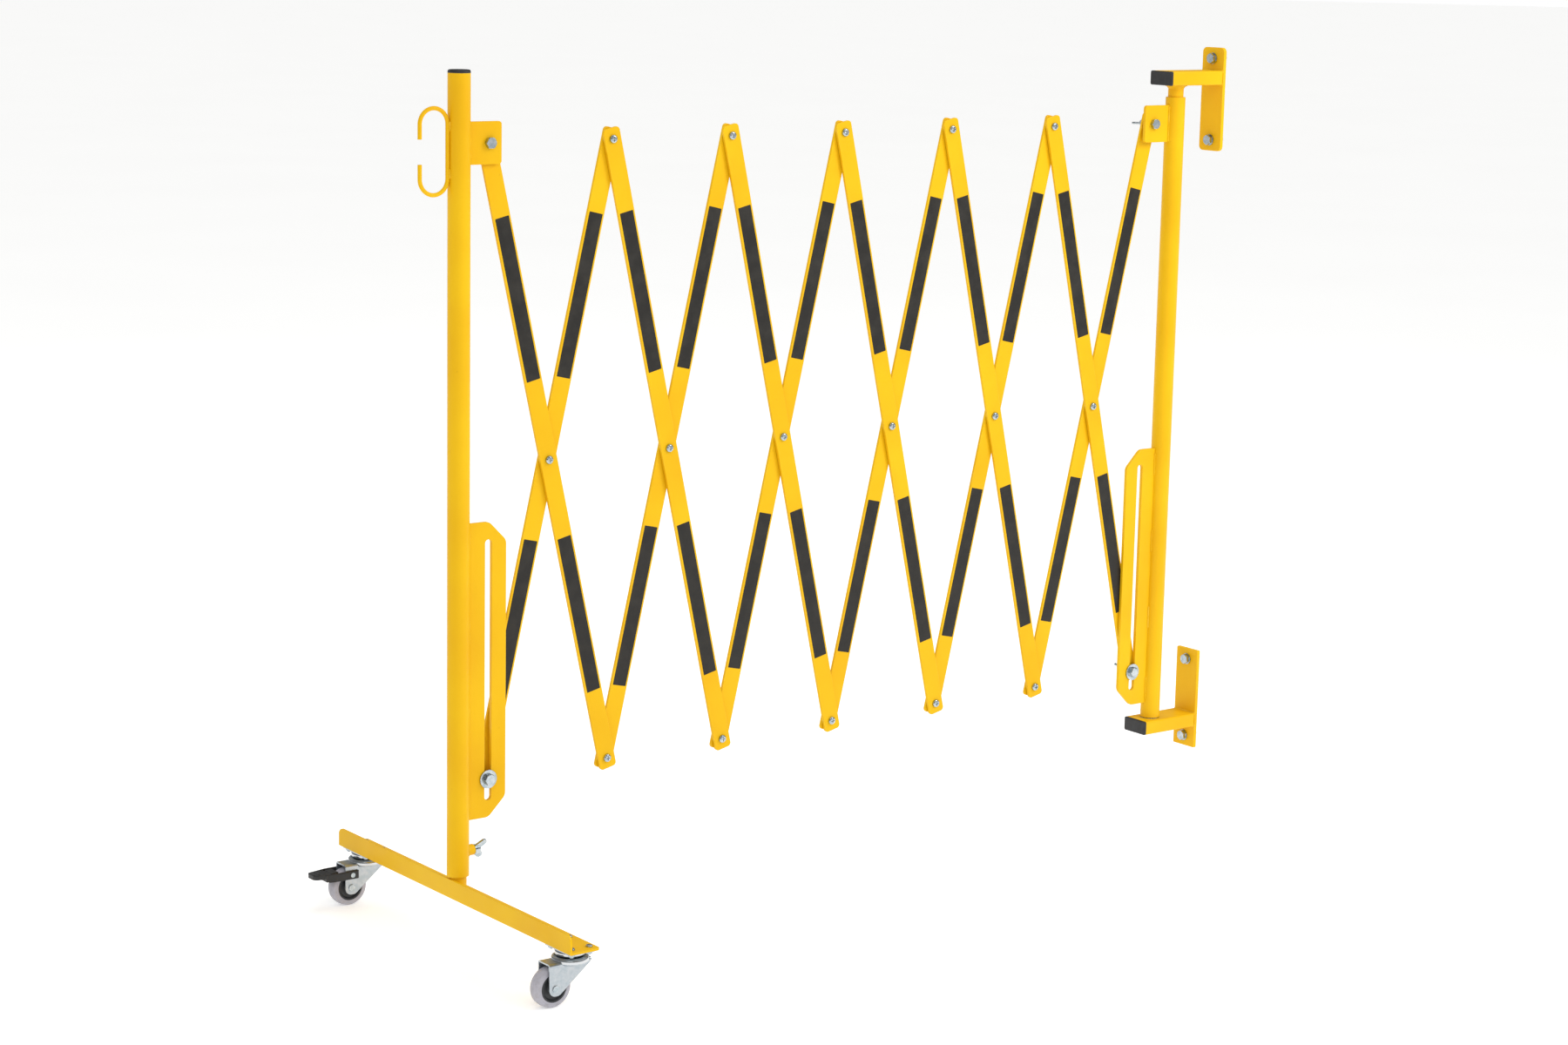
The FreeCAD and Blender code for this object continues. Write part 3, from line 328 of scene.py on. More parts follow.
@dataclass(frozen=True)
class ZincPlate:
    """Electroplated zinc, blue passivated: a bright, slightly blue metal with soft clouds and fine
    tumbling scratches that widen the highlight."""

    name: str = "bright_zinc_plate"
    colour: str = "#C4CACE"
    tint: str = "#A3B1B8"
    dull: str = "#8A9094"
    smooth: float = 0.17
    rough: float = 0.32
    clouds: Pattern = Pattern(6, 4, 0.35, 0.65)
    stains: Pattern = Pattern(2.2, 5, 0.58, 0.75, 0.7)
    tumbled: Pattern = Pattern(1.4, 4)
    # The plate's grain is finer than shows at arm's length, so it is drawn at 0.6 mm.
    grain: Relief = Relief(0.6, 3, 0.012, 0.6)
    roll_mm: float = 0.35

    def paint(self, coat: Coat) -> None:
        """Wires colour, roughness and scratches.

        Args:
            coat: The material.
        """
        coat.layers(self.colour, (coat.patches(self.clouds, 0.0, 1.0), self.tint),
                    (coat.patches(self.stains, 0.0, 0.6), self.dull))
        coat.even(Metallic=1.0)
        coat.join("Roughness", coat.patches(self.tumbled, self.smooth, self.rough))
        coat.relief(self.grain, rolled_mm=self.roll_mm)


@dataclass(frozen=True)
class PolishedRace:
    """Pressed steel race, bright nickel-like zinc over a burnished surface: nearly a mirror, with
    faint turning marks round the swivel."""

    name: str = "polished_steel_race"
    colour: str = "#CDD0D3"
    smear: Pattern = Pattern(5, 3, 0.4, 0.7)
    marks: Relief = Relief(3.5, 2, 0.02, 0.4)

    def paint(self, coat: Coat) -> None:
        """Wires colour, roughness and the faint marks.

        Args:
            coat: The material.
        """
        coat.even(Base_Color=linear(self.colour), Metallic=1.0)
        coat.join("Roughness", coat.patches(self.smear, 0.07, 0.19))
        coat.relief(self.marks)


@dataclass(frozen=True)
class MouldedPlastic:
    """Injection-moulded plastic with a spark-eroded grain: dark, matt, with paler rubbed edges."""

    name: str
    colour: str
    rubbed: str
    rough: float
    grain_mm: float = 0.7
    handled: Pattern = Pattern(11, 4, 0.45, 0.75)
    matt: Pattern = Pattern(8)
    edge_mm: float = 0.8
    roll_mm: float = 0.4

    def paint(self, coat: Coat) -> None:
        """Wires colour, roughness and grain.

        Args:
            coat: The material.
        """
        both = add_node(coat.tree, "ShaderNodeMath", {"operation": "MAXIMUM"},
                        {0: coat.patches(self.handled, 0.0, 0.5), 1: coat.edges(self.edge_mm)})
        share = add_node(coat.tree, "ShaderNodeMath", {"operation": "MULTIPLY"},
                         {0: both.outputs[0], 1: 0.5})
        coat.layers(self.colour, (share.outputs[0], self.rubbed))
        coat.join("Roughness", coat.patches(self.matt, self.rough - 0.06, self.rough + 0.08))
        coat.relief(Relief(self.grain_mm, 2, 0.03, 0.7), rolled_mm=self.roll_mm)


@dataclass(frozen=True)
class GreyRubber:
    """Non-marking thermoplastic rubber, moulded: light lilac-grey, soft highlight, dust in the tread."""

    name: str = "grey_tyre_rubber"
    colour: str = "#ABA9B2"
    dust: str = "#918D8A"
    scuff: str = "#7B7880"
    dusty: Pattern = Pattern(7, 5, 0.48, 0.72, 0.65)
    scuffed: Pattern = Pattern(1.8, 4, 0.64, 0.74, 0.7)
    skin: Relief = Relief(0.9, 3, 0.03, 0.6)

    def paint(self, coat: Coat) -> None:
        """Wires colour, roughness and scuffs.

        Args:
            coat: The material.
        """
        coat.layers(self.colour, (coat.patches(self.dusty, 0.0, 0.5), self.dust),
                    (coat.patches(self.scuffed, 0.0, 0.5), self.scuff))
        coat.join("Roughness", coat.patches(self.dusty, 0.5, 0.72))
        coat.relief(self.skin)


@dataclass(frozen=True)
class VinylTape:
    """Black vinyl marking tape, calendered: satin with a faint pebble, slightly stretched over the
    coat, and dusty in places."""

    name: str = "black_vinyl_tape"
    colour: str = "#262421"
    dust: str = "#3A3732"
    dusty: Pattern = Pattern(22, 5, 0.42, 0.75, 0.6)
    pebble: Relief = Relief(0.8, 2, 0.02, 0.6)
    stretch: Relief = Relief(16, 2, 0.1, 0.4)

    def paint(self, coat: Coat) -> None:
        """Wires colour, roughness and pebble.

        Args:
            coat: The material.
        """
        coat.layers(self.colour, (coat.patches(self.dusty, 0.0, 0.6), self.dust))
        coat.join("Roughness", coat.patches(self.dusty, 0.4, 0.56))
        coat.even(Specular_IOR_Level=0.25)
        coat.relief(self.pebble, self.stretch)


@dataclass(frozen=True)
class StudioFloor:
    """Matt painted floor, pale and even."""

    name: str = "pale_studio_floor"
    colour: str = "#F6F6F5"
    # The far floor gets no light from the softboxes, so the paint glows a little to stay pale.
    glow: float = 0.34
    rolled: Pattern = Pattern(900, 2)

    def paint(self, coat: Coat) -> None:
        """Wires a faint unevenness of the paint.

        Args:
            coat: The material.
        """
        pale = linear(self.colour)
        coat.even(Base_Color=pale, Emission_Color=pale, Emission_Strength=self.glow)
        coat.join("Roughness", coat.patches(self.rolled, 0.8, 0.9))


class Surface(Enum):
    """Every finish on the barrier."""

    POWDER = PowderCoat()
    ZINC = ZincPlate()
    FORK = ZincPlate("matt_zinc_fork", "#C2C7CC", "#B0BAC1", "#9AA2A8", 0.3, 0.46)
    RACE = PolishedRace()
    CAP = MouldedPlastic("black_polythene_cap", "#232324", "#3F3F40", 0.5)
    HUB = MouldedPlastic("black_polypropylene_hub", "#2A2C2F", "#44464A", 0.48)
    PEDAL = MouldedPlastic("black_nylon_pedal", "#1E1F20", "#3A3B3D", 0.42, 0.9)
    TYRE = GreyRubber()
    TAPE = VinylTape()
    FLOOR = StudioFloor()


def material(surface: Surface) -> bpy.types.Material:
    """The material of a finish, made on first use.

    Args:
        surface: Which finish.

    Returns:
        The material.
    """
    finish: Finish = surface.value
    known = bpy.data.materials.get(finish.name)
    if known:
        return known
    made = bpy.data.materials.new(finish.name)
    made.use_nodes = True
    tree = made.node_tree
    place = add_node(tree, "ShaderNodeTexCoord").outputs["Object"]
    finish.paint(Coat(tree, tree.nodes["Principled BSDF"], place))
    return made


# ---- geometry trees
def new_tree(name: str, inputs: dict[str, Any]) -> tuple[Tree, bpy.types.Node]:
    """Starts a geometry tree with named inputs and a material.

    Args:
        name: The tree's name.
        inputs: Name and default of each input after the geometry; whole numbers stay whole.

    Returns:
        The tree and its group input node.
    """
    tree = bpy.data.node_groups.new(name, "GeometryNodeTree")
    tree.interface.new_socket("Geometry", in_out="OUTPUT", socket_type="NodeSocketGeometry")
    tree.interface.new_socket("Geometry", in_out="INPUT", socket_type="NodeSocketGeometry")
    for label, default in inputs.items():
        kind = "NodeSocketInt" if isinstance(default, int) else "NodeSocketFloat"
        tree.interface.new_socket(label, in_out="INPUT", socket_type=kind).default_value = default
    tree.interface.new_socket("Material", in_out="INPUT", socket_type="NodeSocketMaterial")
    return tree, add_node(tree, "NodeGroupInput")


def end_tree(tree: Tree, shape: Socket, dress: Socket) -> None:
    """Realizes, dresses and outputs the shape.

    Args:
        tree: The tree to end.
        shape: Last geometry.
        dress: Material socket of the group input.
    """
    solid = add_node(tree, "GeometryNodeRealizeInstances", None, {"Geometry": shape})
    dressed = add_node(tree, "GeometryNodeSetMaterial", None,
                       {"Geometry": solid.outputs[0], "Material": dress})
    add_node(tree, "NodeGroupOutput", None, {"Geometry": dressed.outputs[0]})


def tape_tree() -> Tree:
    """Tree of the tape strips on one bar: a rounded strip, repeated down the bar on both faces.

    Returns:
        The tree.
    """
    tree, given = new_tree("tape_strips", {
        "Width": 20 * MM, "Length": 200 * MM, "Thickness": 0.2 * MM, "Corner": 0.8 * MM, "Pitch": 400 * MM,
        "Count": 2, "First": 200 * MM, "Bar Thickness": 4 * MM})
    out = given.outputs
    strip = add_node(tree, "GeometryNodeCurvePrimitiveQuadrilateral", {"mode": "RECTANGLE"},
                     {"Width": out["Width"], "Height": out["Length"]})
    round_ = add_node(tree, "GeometryNodeFilletCurve", {"mode": "POLY"},
                      {"Curve": strip.outputs[0], "Count": 3, "Radius": out["Corner"]})
    sheet = add_node(tree, "GeometryNodeFillCurve", {"mode": "NGONS"}, {"Curve": round_.outputs[0]})
    thick = add_node(tree, "GeometryNodeExtrudeMesh", {"mode": "FACES"},
                     {"Mesh": sheet.outputs[0], "Offset Scale": out["Thickness"], "Individual": False})
    under = add_node(tree, "GeometryNodeFlipFaces", None, {"Mesh": sheet.outputs[0]})
    closed = add_node(tree, "GeometryNodeJoinGeometry", None, {0: thick.outputs["Mesh"]})
    tree.links.new(under.outputs[0], closed.inputs[0])
    sealed = add_node(tree, "GeometryNodeMergeByDistance", None,
                      {"Geometry": closed.outputs[0], "Distance": SAME_POINT})
    upright = add_node(tree, "GeometryNodeTransform", None,
                       {"Geometry": sealed.outputs[0], "Rotation": (math.pi / 2, 0.0, 0.0)})
    faces = add_node(tree, "GeometryNodeJoinGeometry")
    for turn, share in ((0.0, -0.5), (math.pi, 0.5)):
        away = add_node(tree, "ShaderNodeMath", {"operation": "MULTIPLY"},
                        {0: out["Bar Thickness"], 1: share})
        shift = add_node(tree, "ShaderNodeCombineXYZ", None, {"Y": away.outputs[0]})
        put = add_node(tree, "GeometryNodeTransform", None,
                       {"Geometry": upright.outputs[0], "Rotation": (0.0, 0.0, turn),
                        "Translation": shift.outputs[0]})
        tree.links.new(put.outputs[0], faces.inputs[0])
    down = {}
    for name in ("First", "Pitch"):
        minus = add_node(tree, "ShaderNodeMath", {"operation": "MULTIPLY"}, {0: out[name], 1: -1.0})
        down[name] = add_node(tree, "ShaderNodeCombineXYZ", None, {"Z": minus.outputs[0]}).outputs[0]
    line = add_node(tree, "GeometryNodeMeshLine", {"mode": "OFFSET"},
                    {"Count": out["Count"], "Start Location": down["First"], "Offset": down["Pitch"]})
    strips = add_node(tree, "GeometryNodeInstanceOnPoints", None,
                      {"Points": line.outputs[0], "Instance": faces.outputs[0]})
    end_tree(tree, strips.outputs[0], out["Material"])
    return tree


def bead_tree() -> Tree:
    """Tree of a weld bead: overlapping lumps along the path that is given as edges.

    Returns:
        The tree.
    """
    tree, given = new_tree("weld_bead", {
        "Radius": 1.6 * MM, "Ripple": 1.1 * MM, "Flatness": 0.8, "Unevenness": 0.14, "Seed": 7})
    out = given.outputs
    path = add_node(tree, "GeometryNodeMeshToCurve", None, {"Mesh": out["Geometry"]})
    points = add_node(tree, "GeometryNodeCurveToPoints", {"mode": "LENGTH"},
                      {"Curve": path.outputs[0], "Length": out["Ripple"]})
    lump = add_node(tree, "GeometryNodeMeshIcoSphere", None, {"Radius": out["Radius"], "Subdivisions": 2})
    smooth = add_node(tree, "GeometryNodeSetShadeSmooth", None, {"Geometry": lump.outputs[0]})
    draw: dict[str, Any] = {"Seed": out["Seed"]}
    for end, sign in (("Min", "SUBTRACT"), ("Max", "ADD")):
        limit = add_node(tree, "ShaderNodeMath", {"operation": sign}, {0: 1.0, 1: out["Unevenness"]})
        draw[end] = limit.outputs[0]
    size = add_node(tree, "FunctionNodeRandomValue", {"data_type": "FLOAT"}, draw)
    along = add_node(tree, "ShaderNodeMath", {"operation": "MULTIPLY"},
                     {0: size.outputs["Value"], 1: out["Flatness"]})
    shape = add_node(tree, "ShaderNodeCombineXYZ", None,
                     {"X": size.outputs["Value"], "Y": size.outputs["Value"], "Z": along.outputs[0]})
    lumps = add_node(tree, "GeometryNodeInstanceOnPoints", None,
                     {"Points": points.outputs["Points"], "Instance": smooth.outputs[0],
                      "Rotation": points.outputs["Rotation"], "Scale": shape.outputs[0]})
    end_tree(tree, lumps.outputs[0], out["Material"])
    return tree


def thread_tree() -> Tree:
    """Tree of a screw thread: ridges at the thread's pitch along +Z from the origin.

    Returns:
        The tree.
    """
    tree, given = new_tree("screw_thread", {
        "Radius": 3 * MM, "Pitch": 1 * MM, "Depth": 0.3 * MM, "Count": 6})
    out = given.outputs
    circle = add_node(tree, "GeometryNodeCurvePrimitiveCircle", {"mode": "RADIUS"},
                      {"Resolution": 24, "Radius": out["Radius"]})
    profile = add_node(tree, "GeometryNodeCurvePrimitiveCircle", {"mode": "RADIUS"},
                       {"Resolution": 4, "Radius": out["Depth"]})
    ridge = add_node(tree, "GeometryNodeCurveToMesh", None,
                     {"Curve": circle.outputs[0], "Profile Curve": profile.outputs[0]})
    step = add_node(tree, "ShaderNodeCombineXYZ", None, {"Z": out["Pitch"]})
    line = add_node(tree, "GeometryNodeMeshLine", {"mode": "OFFSET"},
                    {"Count": out["Count"], "Offset": step.outputs[0]})
    ridges = add_node(tree, "GeometryNodeInstanceOnPoints", None,
                      {"Points": line.outputs[0], "Instance": ridge.outputs[0]})
    end_tree(tree, ridges.outputs[0], out["Material"])
    return tree


@dataclass
class Maker:
    """Turns a geometry tree and its sizes into a plain mesh, and keeps each tree once."""

    trees: dict[str, Tree] = field(default_factory=dict)

    def mesh(self, build: Callable[[], Tree], sizes: dict[str, Any],
             start: Mesh | None = None) -> Mesh:
        """Runs a tree.

        Args:
            build: Function that builds the tree.
            sizes: Input name to value.
            start: Mesh that goes in, or None.

        Returns:
            The plain mesh that comes out.
        """
        if build.__name__ not in self.trees:
            self.trees[build.__name__] = build()
        tree = self.trees[build.__name__]
        holder = add_object("holder", start or bpy.data.meshes.new("blank"))
        modifier = holder.modifiers.new("build", "NODES")
        modifier.node_group = tree
        names = {i.name: i.identifier for i in tree.interface.items_tree if i.in_out == "INPUT"}
        for name, value in sizes.items():
            modifier[names[name]] = value
        return settled(holder)


MAKER = Maker()


# ---- pieces
def stand(mesh: Mesh, place: Vector, axis: Vector) -> Mesh:
    """Turns a mesh that was built up +Z from the origin, and puts it in its place.

    Args:
        mesh: The mesh.
        place: Where its origin goes.
        axis: Where its +Z goes.

    Returns:
        The same mesh.
    """
    mesh.transform(Matrix.Translation(place) @ UP.rotation_difference(axis).to_matrix().to_4x4())
    return mesh


def place_piece(name: str, mesh: Mesh, surface: Surface, body: str, slot: str,
                replaces: Sequence[str] = ()) -> None:
    """Adds a finished mesh to the scene on its body.

    Args:
        name: The piece's name.
        mesh: Its mesh, in the frame's axes.
        surface: Its finish.
        body: Body that it rides on.
        slot: The record's material slot; not used.
        replaces: CAD nodes that it stands for.
    """
    mesh.name = name
    mesh.materials.clear()
    mesh.materials.append(material(surface))
    piece = add_object(name, mesh)
    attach(piece, body)
    if replaces:
        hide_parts(*replaces)
    LOG.info("%s: %d faces on %s", name, len(mesh.polygons), body)


def join_meshes(meshes: Sequence[Mesh]) -> Mesh:
    """One mesh out of several.

    Args:
        meshes: Meshes to join; they are removed.

    Returns:
        The joined mesh.
    """
    work = bmesh.new()
    for mesh in meshes:
        work.from_mesh(mesh)
        bpy.data.meshes.remove(mesh)
    joined = bpy.data.meshes.new("joined")
    work.to_mesh(joined)
    work.free()
    return joined


def circle(steps: int) -> list[tuple[float, float]]:
    """Cosine and sine of even steps over a full turn."""
    angles = [math.tau * k / steps for k in range(steps)]
    return [(math.cos(a), math.sin(a)) for a in angles]


def revolved(profile: Sequence[tuple[float, float]], centre: Vector, axis: Vector, steps: int,
             crease: float = math.radians(34)) -> Mesh:
    """Ring with a given section.

    Args:
        profile: (radius, height) points of the section, a loop that stays off the axis.
        centre: Point on the axis at height 0.
        axis: Direction of height.
        steps: Segments round the axis.
        crease: Edges that fold less than this are smooth.

    Returns:
        The mesh in the frame's axes, faces outwards.
    """
    work = bmesh.new()
    rings = [[work.verts.new((radius * c, radius * s, height)) for c, s in circle(steps)]
             for radius, height in profile]
    for lower, upper in zip(rings, rings[1:] + rings[:1]):
        for k in range(steps):
            after = (k + 1) % steps
            work.faces.new((lower[k], lower[after], upper[after], upper[k]))
    bmesh.ops.recalc_face_normals(work, faces=work.faces)
    for face in work.faces:
        face.smooth = True
    for edge in work.edges:
        edge.smooth = edge.calc_face_angle(0.0) < crease
    mesh = bpy.data.meshes.new("revolved")
    work.to_mesh(mesh)
    work.free()
    return stand(mesh, centre, axis)


def quarter(steps: int) -> list[tuple[float, float]]:
    """Sine and cosine of even steps over a quarter turn."""
    angles = [math.pi / 2 * k / steps for k in range(steps + 1)]
    return [(math.sin(a), math.cos(a)) for a in angles]


@dataclass(frozen=True)
class Thread:
    """Screw thread whose ridges stand a little out of the shank."""

    radius: float
    pitch: float
    sunk: float = 0.1 * MM
    ridge: float = 0.32     # ridge radius as a share of the pitch

    def mesh(self, start: Vector, axis: Vector, length: float) -> Mesh:
        """Ridges over a length of the shank.

        Args:
            start: Where the thread starts.
            axis: Its direction.
            length: Its length.

        Returns:
            The mesh in the frame's axes.
        """
        sizes = {"Radius": self.radius - self.sunk, "Pitch": self.pitch, "Depth": self.pitch * self.ridge,
                 "Count": max(2, int(length / self.pitch)), "Material": material(Surface.ZINC)}
        return stand(MAKER.mesh(thread_tree, sizes), start + axis * self.pitch * 0.5, axis)


@dataclass
class Welds:
    """Weld beads of one body, gathered into one piece."""

    body: str
    ripple: float = 0.75        # distance of the lumps as a share of the bead's radius
    first_seed: int = 11
    ring_steps: int = 48
    meshes: list[Mesh] = field(default_factory=list)

    def run(self, points: Sequence[Vector], bead: float, closed: bool = False) -> None:
        """Adds one bead.

        Args:
            points: Path of the bead.
            bead: Its radius.
            closed: Whether the path closes.
        """
        count = len(points)
        edges = [(i, (i + 1) % count) for i in range(count if closed else count - 1)]
        path = bpy.data.meshes.new("path")
        path.from_pydata(points, edges, [])
        sizes = {"Radius": bead, "Ripple": bead * self.ripple, "Seed": self.first_seed + len(self.meshes),
                 "Material": material(Surface.POWDER)}
        self.meshes.append(MAKER.mesh(bead_tree, sizes, path))

    def ring(self, centre: Vector, radius: float, bead: float) -> None:
        """Adds a level bead all the way round.

        Args:
            centre: Centre of the ring.
            radius: Its radius.
            bead: The bead's radius.
        """
        self.run([centre + Vector((c * radius, s * radius, 0)) for c, s in circle(self.ring_steps)],
                 bead, True)

    def finish(self, name: str) -> None:
        """Places all beads as one piece of that name."""
        place_piece(name, join_meshes(self.meshes), Surface.POWDER, self.body, "yellow_paint")


# ---- sub-assemblies
@dataclass
class Trellis:
    """Tape and pivot threads of the twelve flat bars."""

    frame: Frame
    units: int = 6
    tape_width: float = 20 * MM
    tape_thick: float = 0.2 * MM
    first_strip: tuple[float, float] = (0.115, 0.372)   # share of the way from top to bottom pivot
    second_strip: tuple[float, float] = (0.627, 0.884)
    thread_seen: float = 1.5 * MM
    thread: Thread = Thread(3.0 * MM, 0.7 * MM)
    top: Vector = field(init=False)     # top pivot at the mobile post
    step: float = field(init=False)     # between two top pivots
    low: float = field(init=False)      # height of the bottom pivots

    def __post_init__(self) -> None:
        """Reads the pivots' places."""
        self.top = joint_place(self.frame, "mobile_post_pivot")
        self.step = (joint_place(self.frame, "fold").x - self.top.x) / self.units
        self.low = joint_place(self.frame, "wall_slot_nut_turn").z

    def build(self) -> None:
        """Adds the tape and the threads."""
        self.tape()
        self.threads()

    def tape(self) -> None:
        """Tapes every bar."""
        top, step, drop = self.top, self.step, self.top.z - self.low
        length, lean = math.hypot(step, drop), math.atan2(step, drop)
        first, last = self.first_strip
        for i in range(1, self.units + 1):
            for kind, x, way in (("front", top.x + (i - 1) * step, -1), ("rear", top.x + i * step, 1)):
                body = f"{kind}_bar_{i}"
                near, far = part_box(body)
                mesh = MAKER.mesh(tape_tree, {
                    "Width": self.tape_width, "Length": (last - first) * length,
                    "Thickness": self.tape_thick, "First": (first + last) / 2 * length,
                    "Pitch": (self.second_strip[0] - first) * length, "Bar Thickness": far.y - near.y,
                    "Material": material(Surface.TAPE)})
                middle = Vector((x, (near.y + far.y) / 2, top.z))
                mesh.transform(Matrix.Translation(middle) @ Matrix.Rotation(way * lean, 4, "Y"))
                place_piece(f"tape_{kind}_{i}", mesh, Surface.TAPE, body, "black_plastic")

    def threads(self) -> None:
        """Gives the end of every pivot bolt its thread."""
        top, step, low = self.top, self.step, self.low
        for i in range(1, self.units + 1):
            places = [(top.x + (i - 0.5) * step, (top.z + low) / 2)]
            if i > 1:
                places.append((top.x + (i - 1) * step, top.z))
            if i < self.units:
                places.append((top.x + i * step, low))
            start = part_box(f"pivot_fasteners_{i}")[1].y - self.thread_seen
            meshes = [self.thread.mesh(Vector((x, start, z)), ACROSS, self.thread_seen) for x, z in places]
            place_piece(f"pivot_threads_{i}", join_meshes(meshes), Surface.ZINC, f"front_bar_{i}", "zinc")


@dataclass
class Casters:
    """Tyres, hubs and polished races of the two swivel casters."""

    frame: Frame
    ring_below: float = 5.0 * MM    # turning ring below and above the crown's top
    ring_above: float = 3.8 * MM
    race_gap: float = 0.4 * MM
    race_height: float = 12.0 * MM  # crown's top to the plate
    cup_r: float = 19.0 * MM
    race_round: float = 0.43        # rim radius as a share of the height
    race_bore: float = 0.66         # bore as a share of the radius
    race_skin: float = 0.05 * MM
    race_steps: int = 96
    crown: float = 0.35 * MM        # the tread is this much lower at its shoulders
    crown_shares: tuple[float, float] = (0.35, 0.1)     # of that, at 0.4 of the half width and the middle
    shoulder: float = 3.4 * MM
    side_sunk: float = 0.4 * MM     # tyre's side below its lip
    mould_line: float = 0.18 * MM
    mould_line_half: tuple[float, float] = (0.5 * MM, 0.22 * MM)    # half width at its foot and top
    tyre_steps: int = 128
    # Lip of the tyre: (beyond the hub's radius, below the side face) in mm.
    lip: Pairs = ((0.0, 0.5), (0.5, 0.0), (2.0, 0.0))
    lip_out: float = 2.4 * MM
    hub_r: float = 17.5 * MM
    boss_r: float = 7.0 * MM
    boss_chamfer: float = 0.5 * MM
    bore_r: float = 3.1 * MM
    dish: float = 2.6 * MM          # depth of the hub's dish
    dish_round: float = 1.4 * MM
    # Rim of the hub: (inside the hub's radius, below the side face) in mm.
    rim: Pairs = ((3.6, 2.6), (2.8, 2.0), (2.2, 0.4), (1.8, 0.0), (0.0, 0.0))
    hub_steps: int = 96

    def build(self) -> None:
        """Adds the pieces of both casters."""
        for end in ("front", "rear"):
            swivel = joint_place(self.frame, f"{end}_caster_swivel")
            low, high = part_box(f"{end}_fork")
            self.race(f"{end}_turning_ring", swivel, (high.y - low.y) / 2,
                      (-self.ring_below, self.ring_above), f"{end}_caster")
            self.race(f"{end}_fixed_cup", swivel, self.cup_r,
                      (self.ring_above + self.race_gap, self.race_height), "foot")
            self.tyre(end)
            self.hub(end)

    def race(self, name: str, swivel: Vector, radius: float, span: tuple[float, float], body: str) -> None:
        """Polished skin over a race, with rounded rims.

        Args:
            name: The piece's name.
            swivel: Swivel axis at the crown's top.
            radius: Radius of the race.
            span: Its lower and upper edge above the crown's top.
            body: Body that it rides on.
        """
        low, high = span
        inner, outer = radius * self.race_bore, radius + self.race_skin
        fillet = (high - low) * self.race_round
        arc = quarter(7)
        profile = [(inner, low)]
        profile += [(outer - fillet + fillet * s, low + fillet - fillet * c) for s, c in arc]
        profile += [(outer - fillet + fillet * c, high - fillet + fillet * s) for s, c in arc]
        profile.append((inner, high))
        place_piece(name, revolved(profile, swivel, UP, self.race_steps), Surface.RACE, body, "zinc")

    def tyre(self, end: str) -> None:
        """Rubber tyre with a crowned tread, a mould line and a lip beside the hub.

        Args:
            end: "front" or "rear".
        """
        low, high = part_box(f"{end}_tyre")
        radius, half = (high.z - low.z) / 2, (high.y - low.y) / 2
        side = [(self.hub_r + out * MM, half - sunk * MM) for out, sunk in self.lip]
        side.append((self.hub_r + self.lip_out, half - self.side_sunk))
        side += [(radius - self.crown - self.shoulder + self.shoulder * s,
                  half - self.side_sunk - self.shoulder + self.shoulder * c) for s, c in quarter(8)]
        near, middle = (radius - self.crown * share for share in self.crown_shares)
        foot, top = self.mould_line_half
        side += [(near, half * 0.4), (middle, foot), (middle + self.mould_line, top)]
        self.wheel_piece(end, "tyre", side, (low + high) / 2, self.tyre_steps)

    def hub(self, end: str) -> None:
        """Moulded hub with a raised rim, a dish and a boss.

        Args:
            end: "front" or "rear".
        """
        low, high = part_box(f"{end}_hub")
        half = (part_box(f"{end}_tyre")[1].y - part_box(f"{end}_tyre")[0].y) / 2
        boss = (high.y - low.y) / 2
        face = [(self.bore_r, boss), (self.boss_r - self.boss_chamfer, boss),
                (self.boss_r, boss - self.boss_chamfer), (self.boss_r, half - self.dish + self.dish_round),
                (self.boss_r + self.dish_round, half - self.dish)]
        face += [(self.hub_r - inside * MM, half - sunk * MM) for inside, sunk in self.rim]
        self.wheel_piece(end, "hub", face, (low + high) / 2, self.hub_steps)

    def wheel_piece(self, end: str, part: str, side: list[tuple[float, float]], centre: Vector,
                    steps: int) -> None:
        """Turned piece of a wheel, the same on both sides, in place of its CAD node.

        Args:
            end: "front" or "rear".
            part: "tyre" or "hub".
            side: (radius, distance from the middle) points of one side.
            centre: Centre of the wheel.
            steps: Segments round the axle.
        """
        surface, slot = {"tyre": (Surface.TYRE, "tyre_rubber"), "hub": (Surface.HUB, "black_plastic")}[part]
        profile = side + [(r, -h) for r, h in reversed(side)]
        place_piece(f"{end}_wheel_{part}", revolved(profile, centre, ACROSS, steps), surface,
                    f"{end}_wheel", slot, (f"{end}_{part}",))


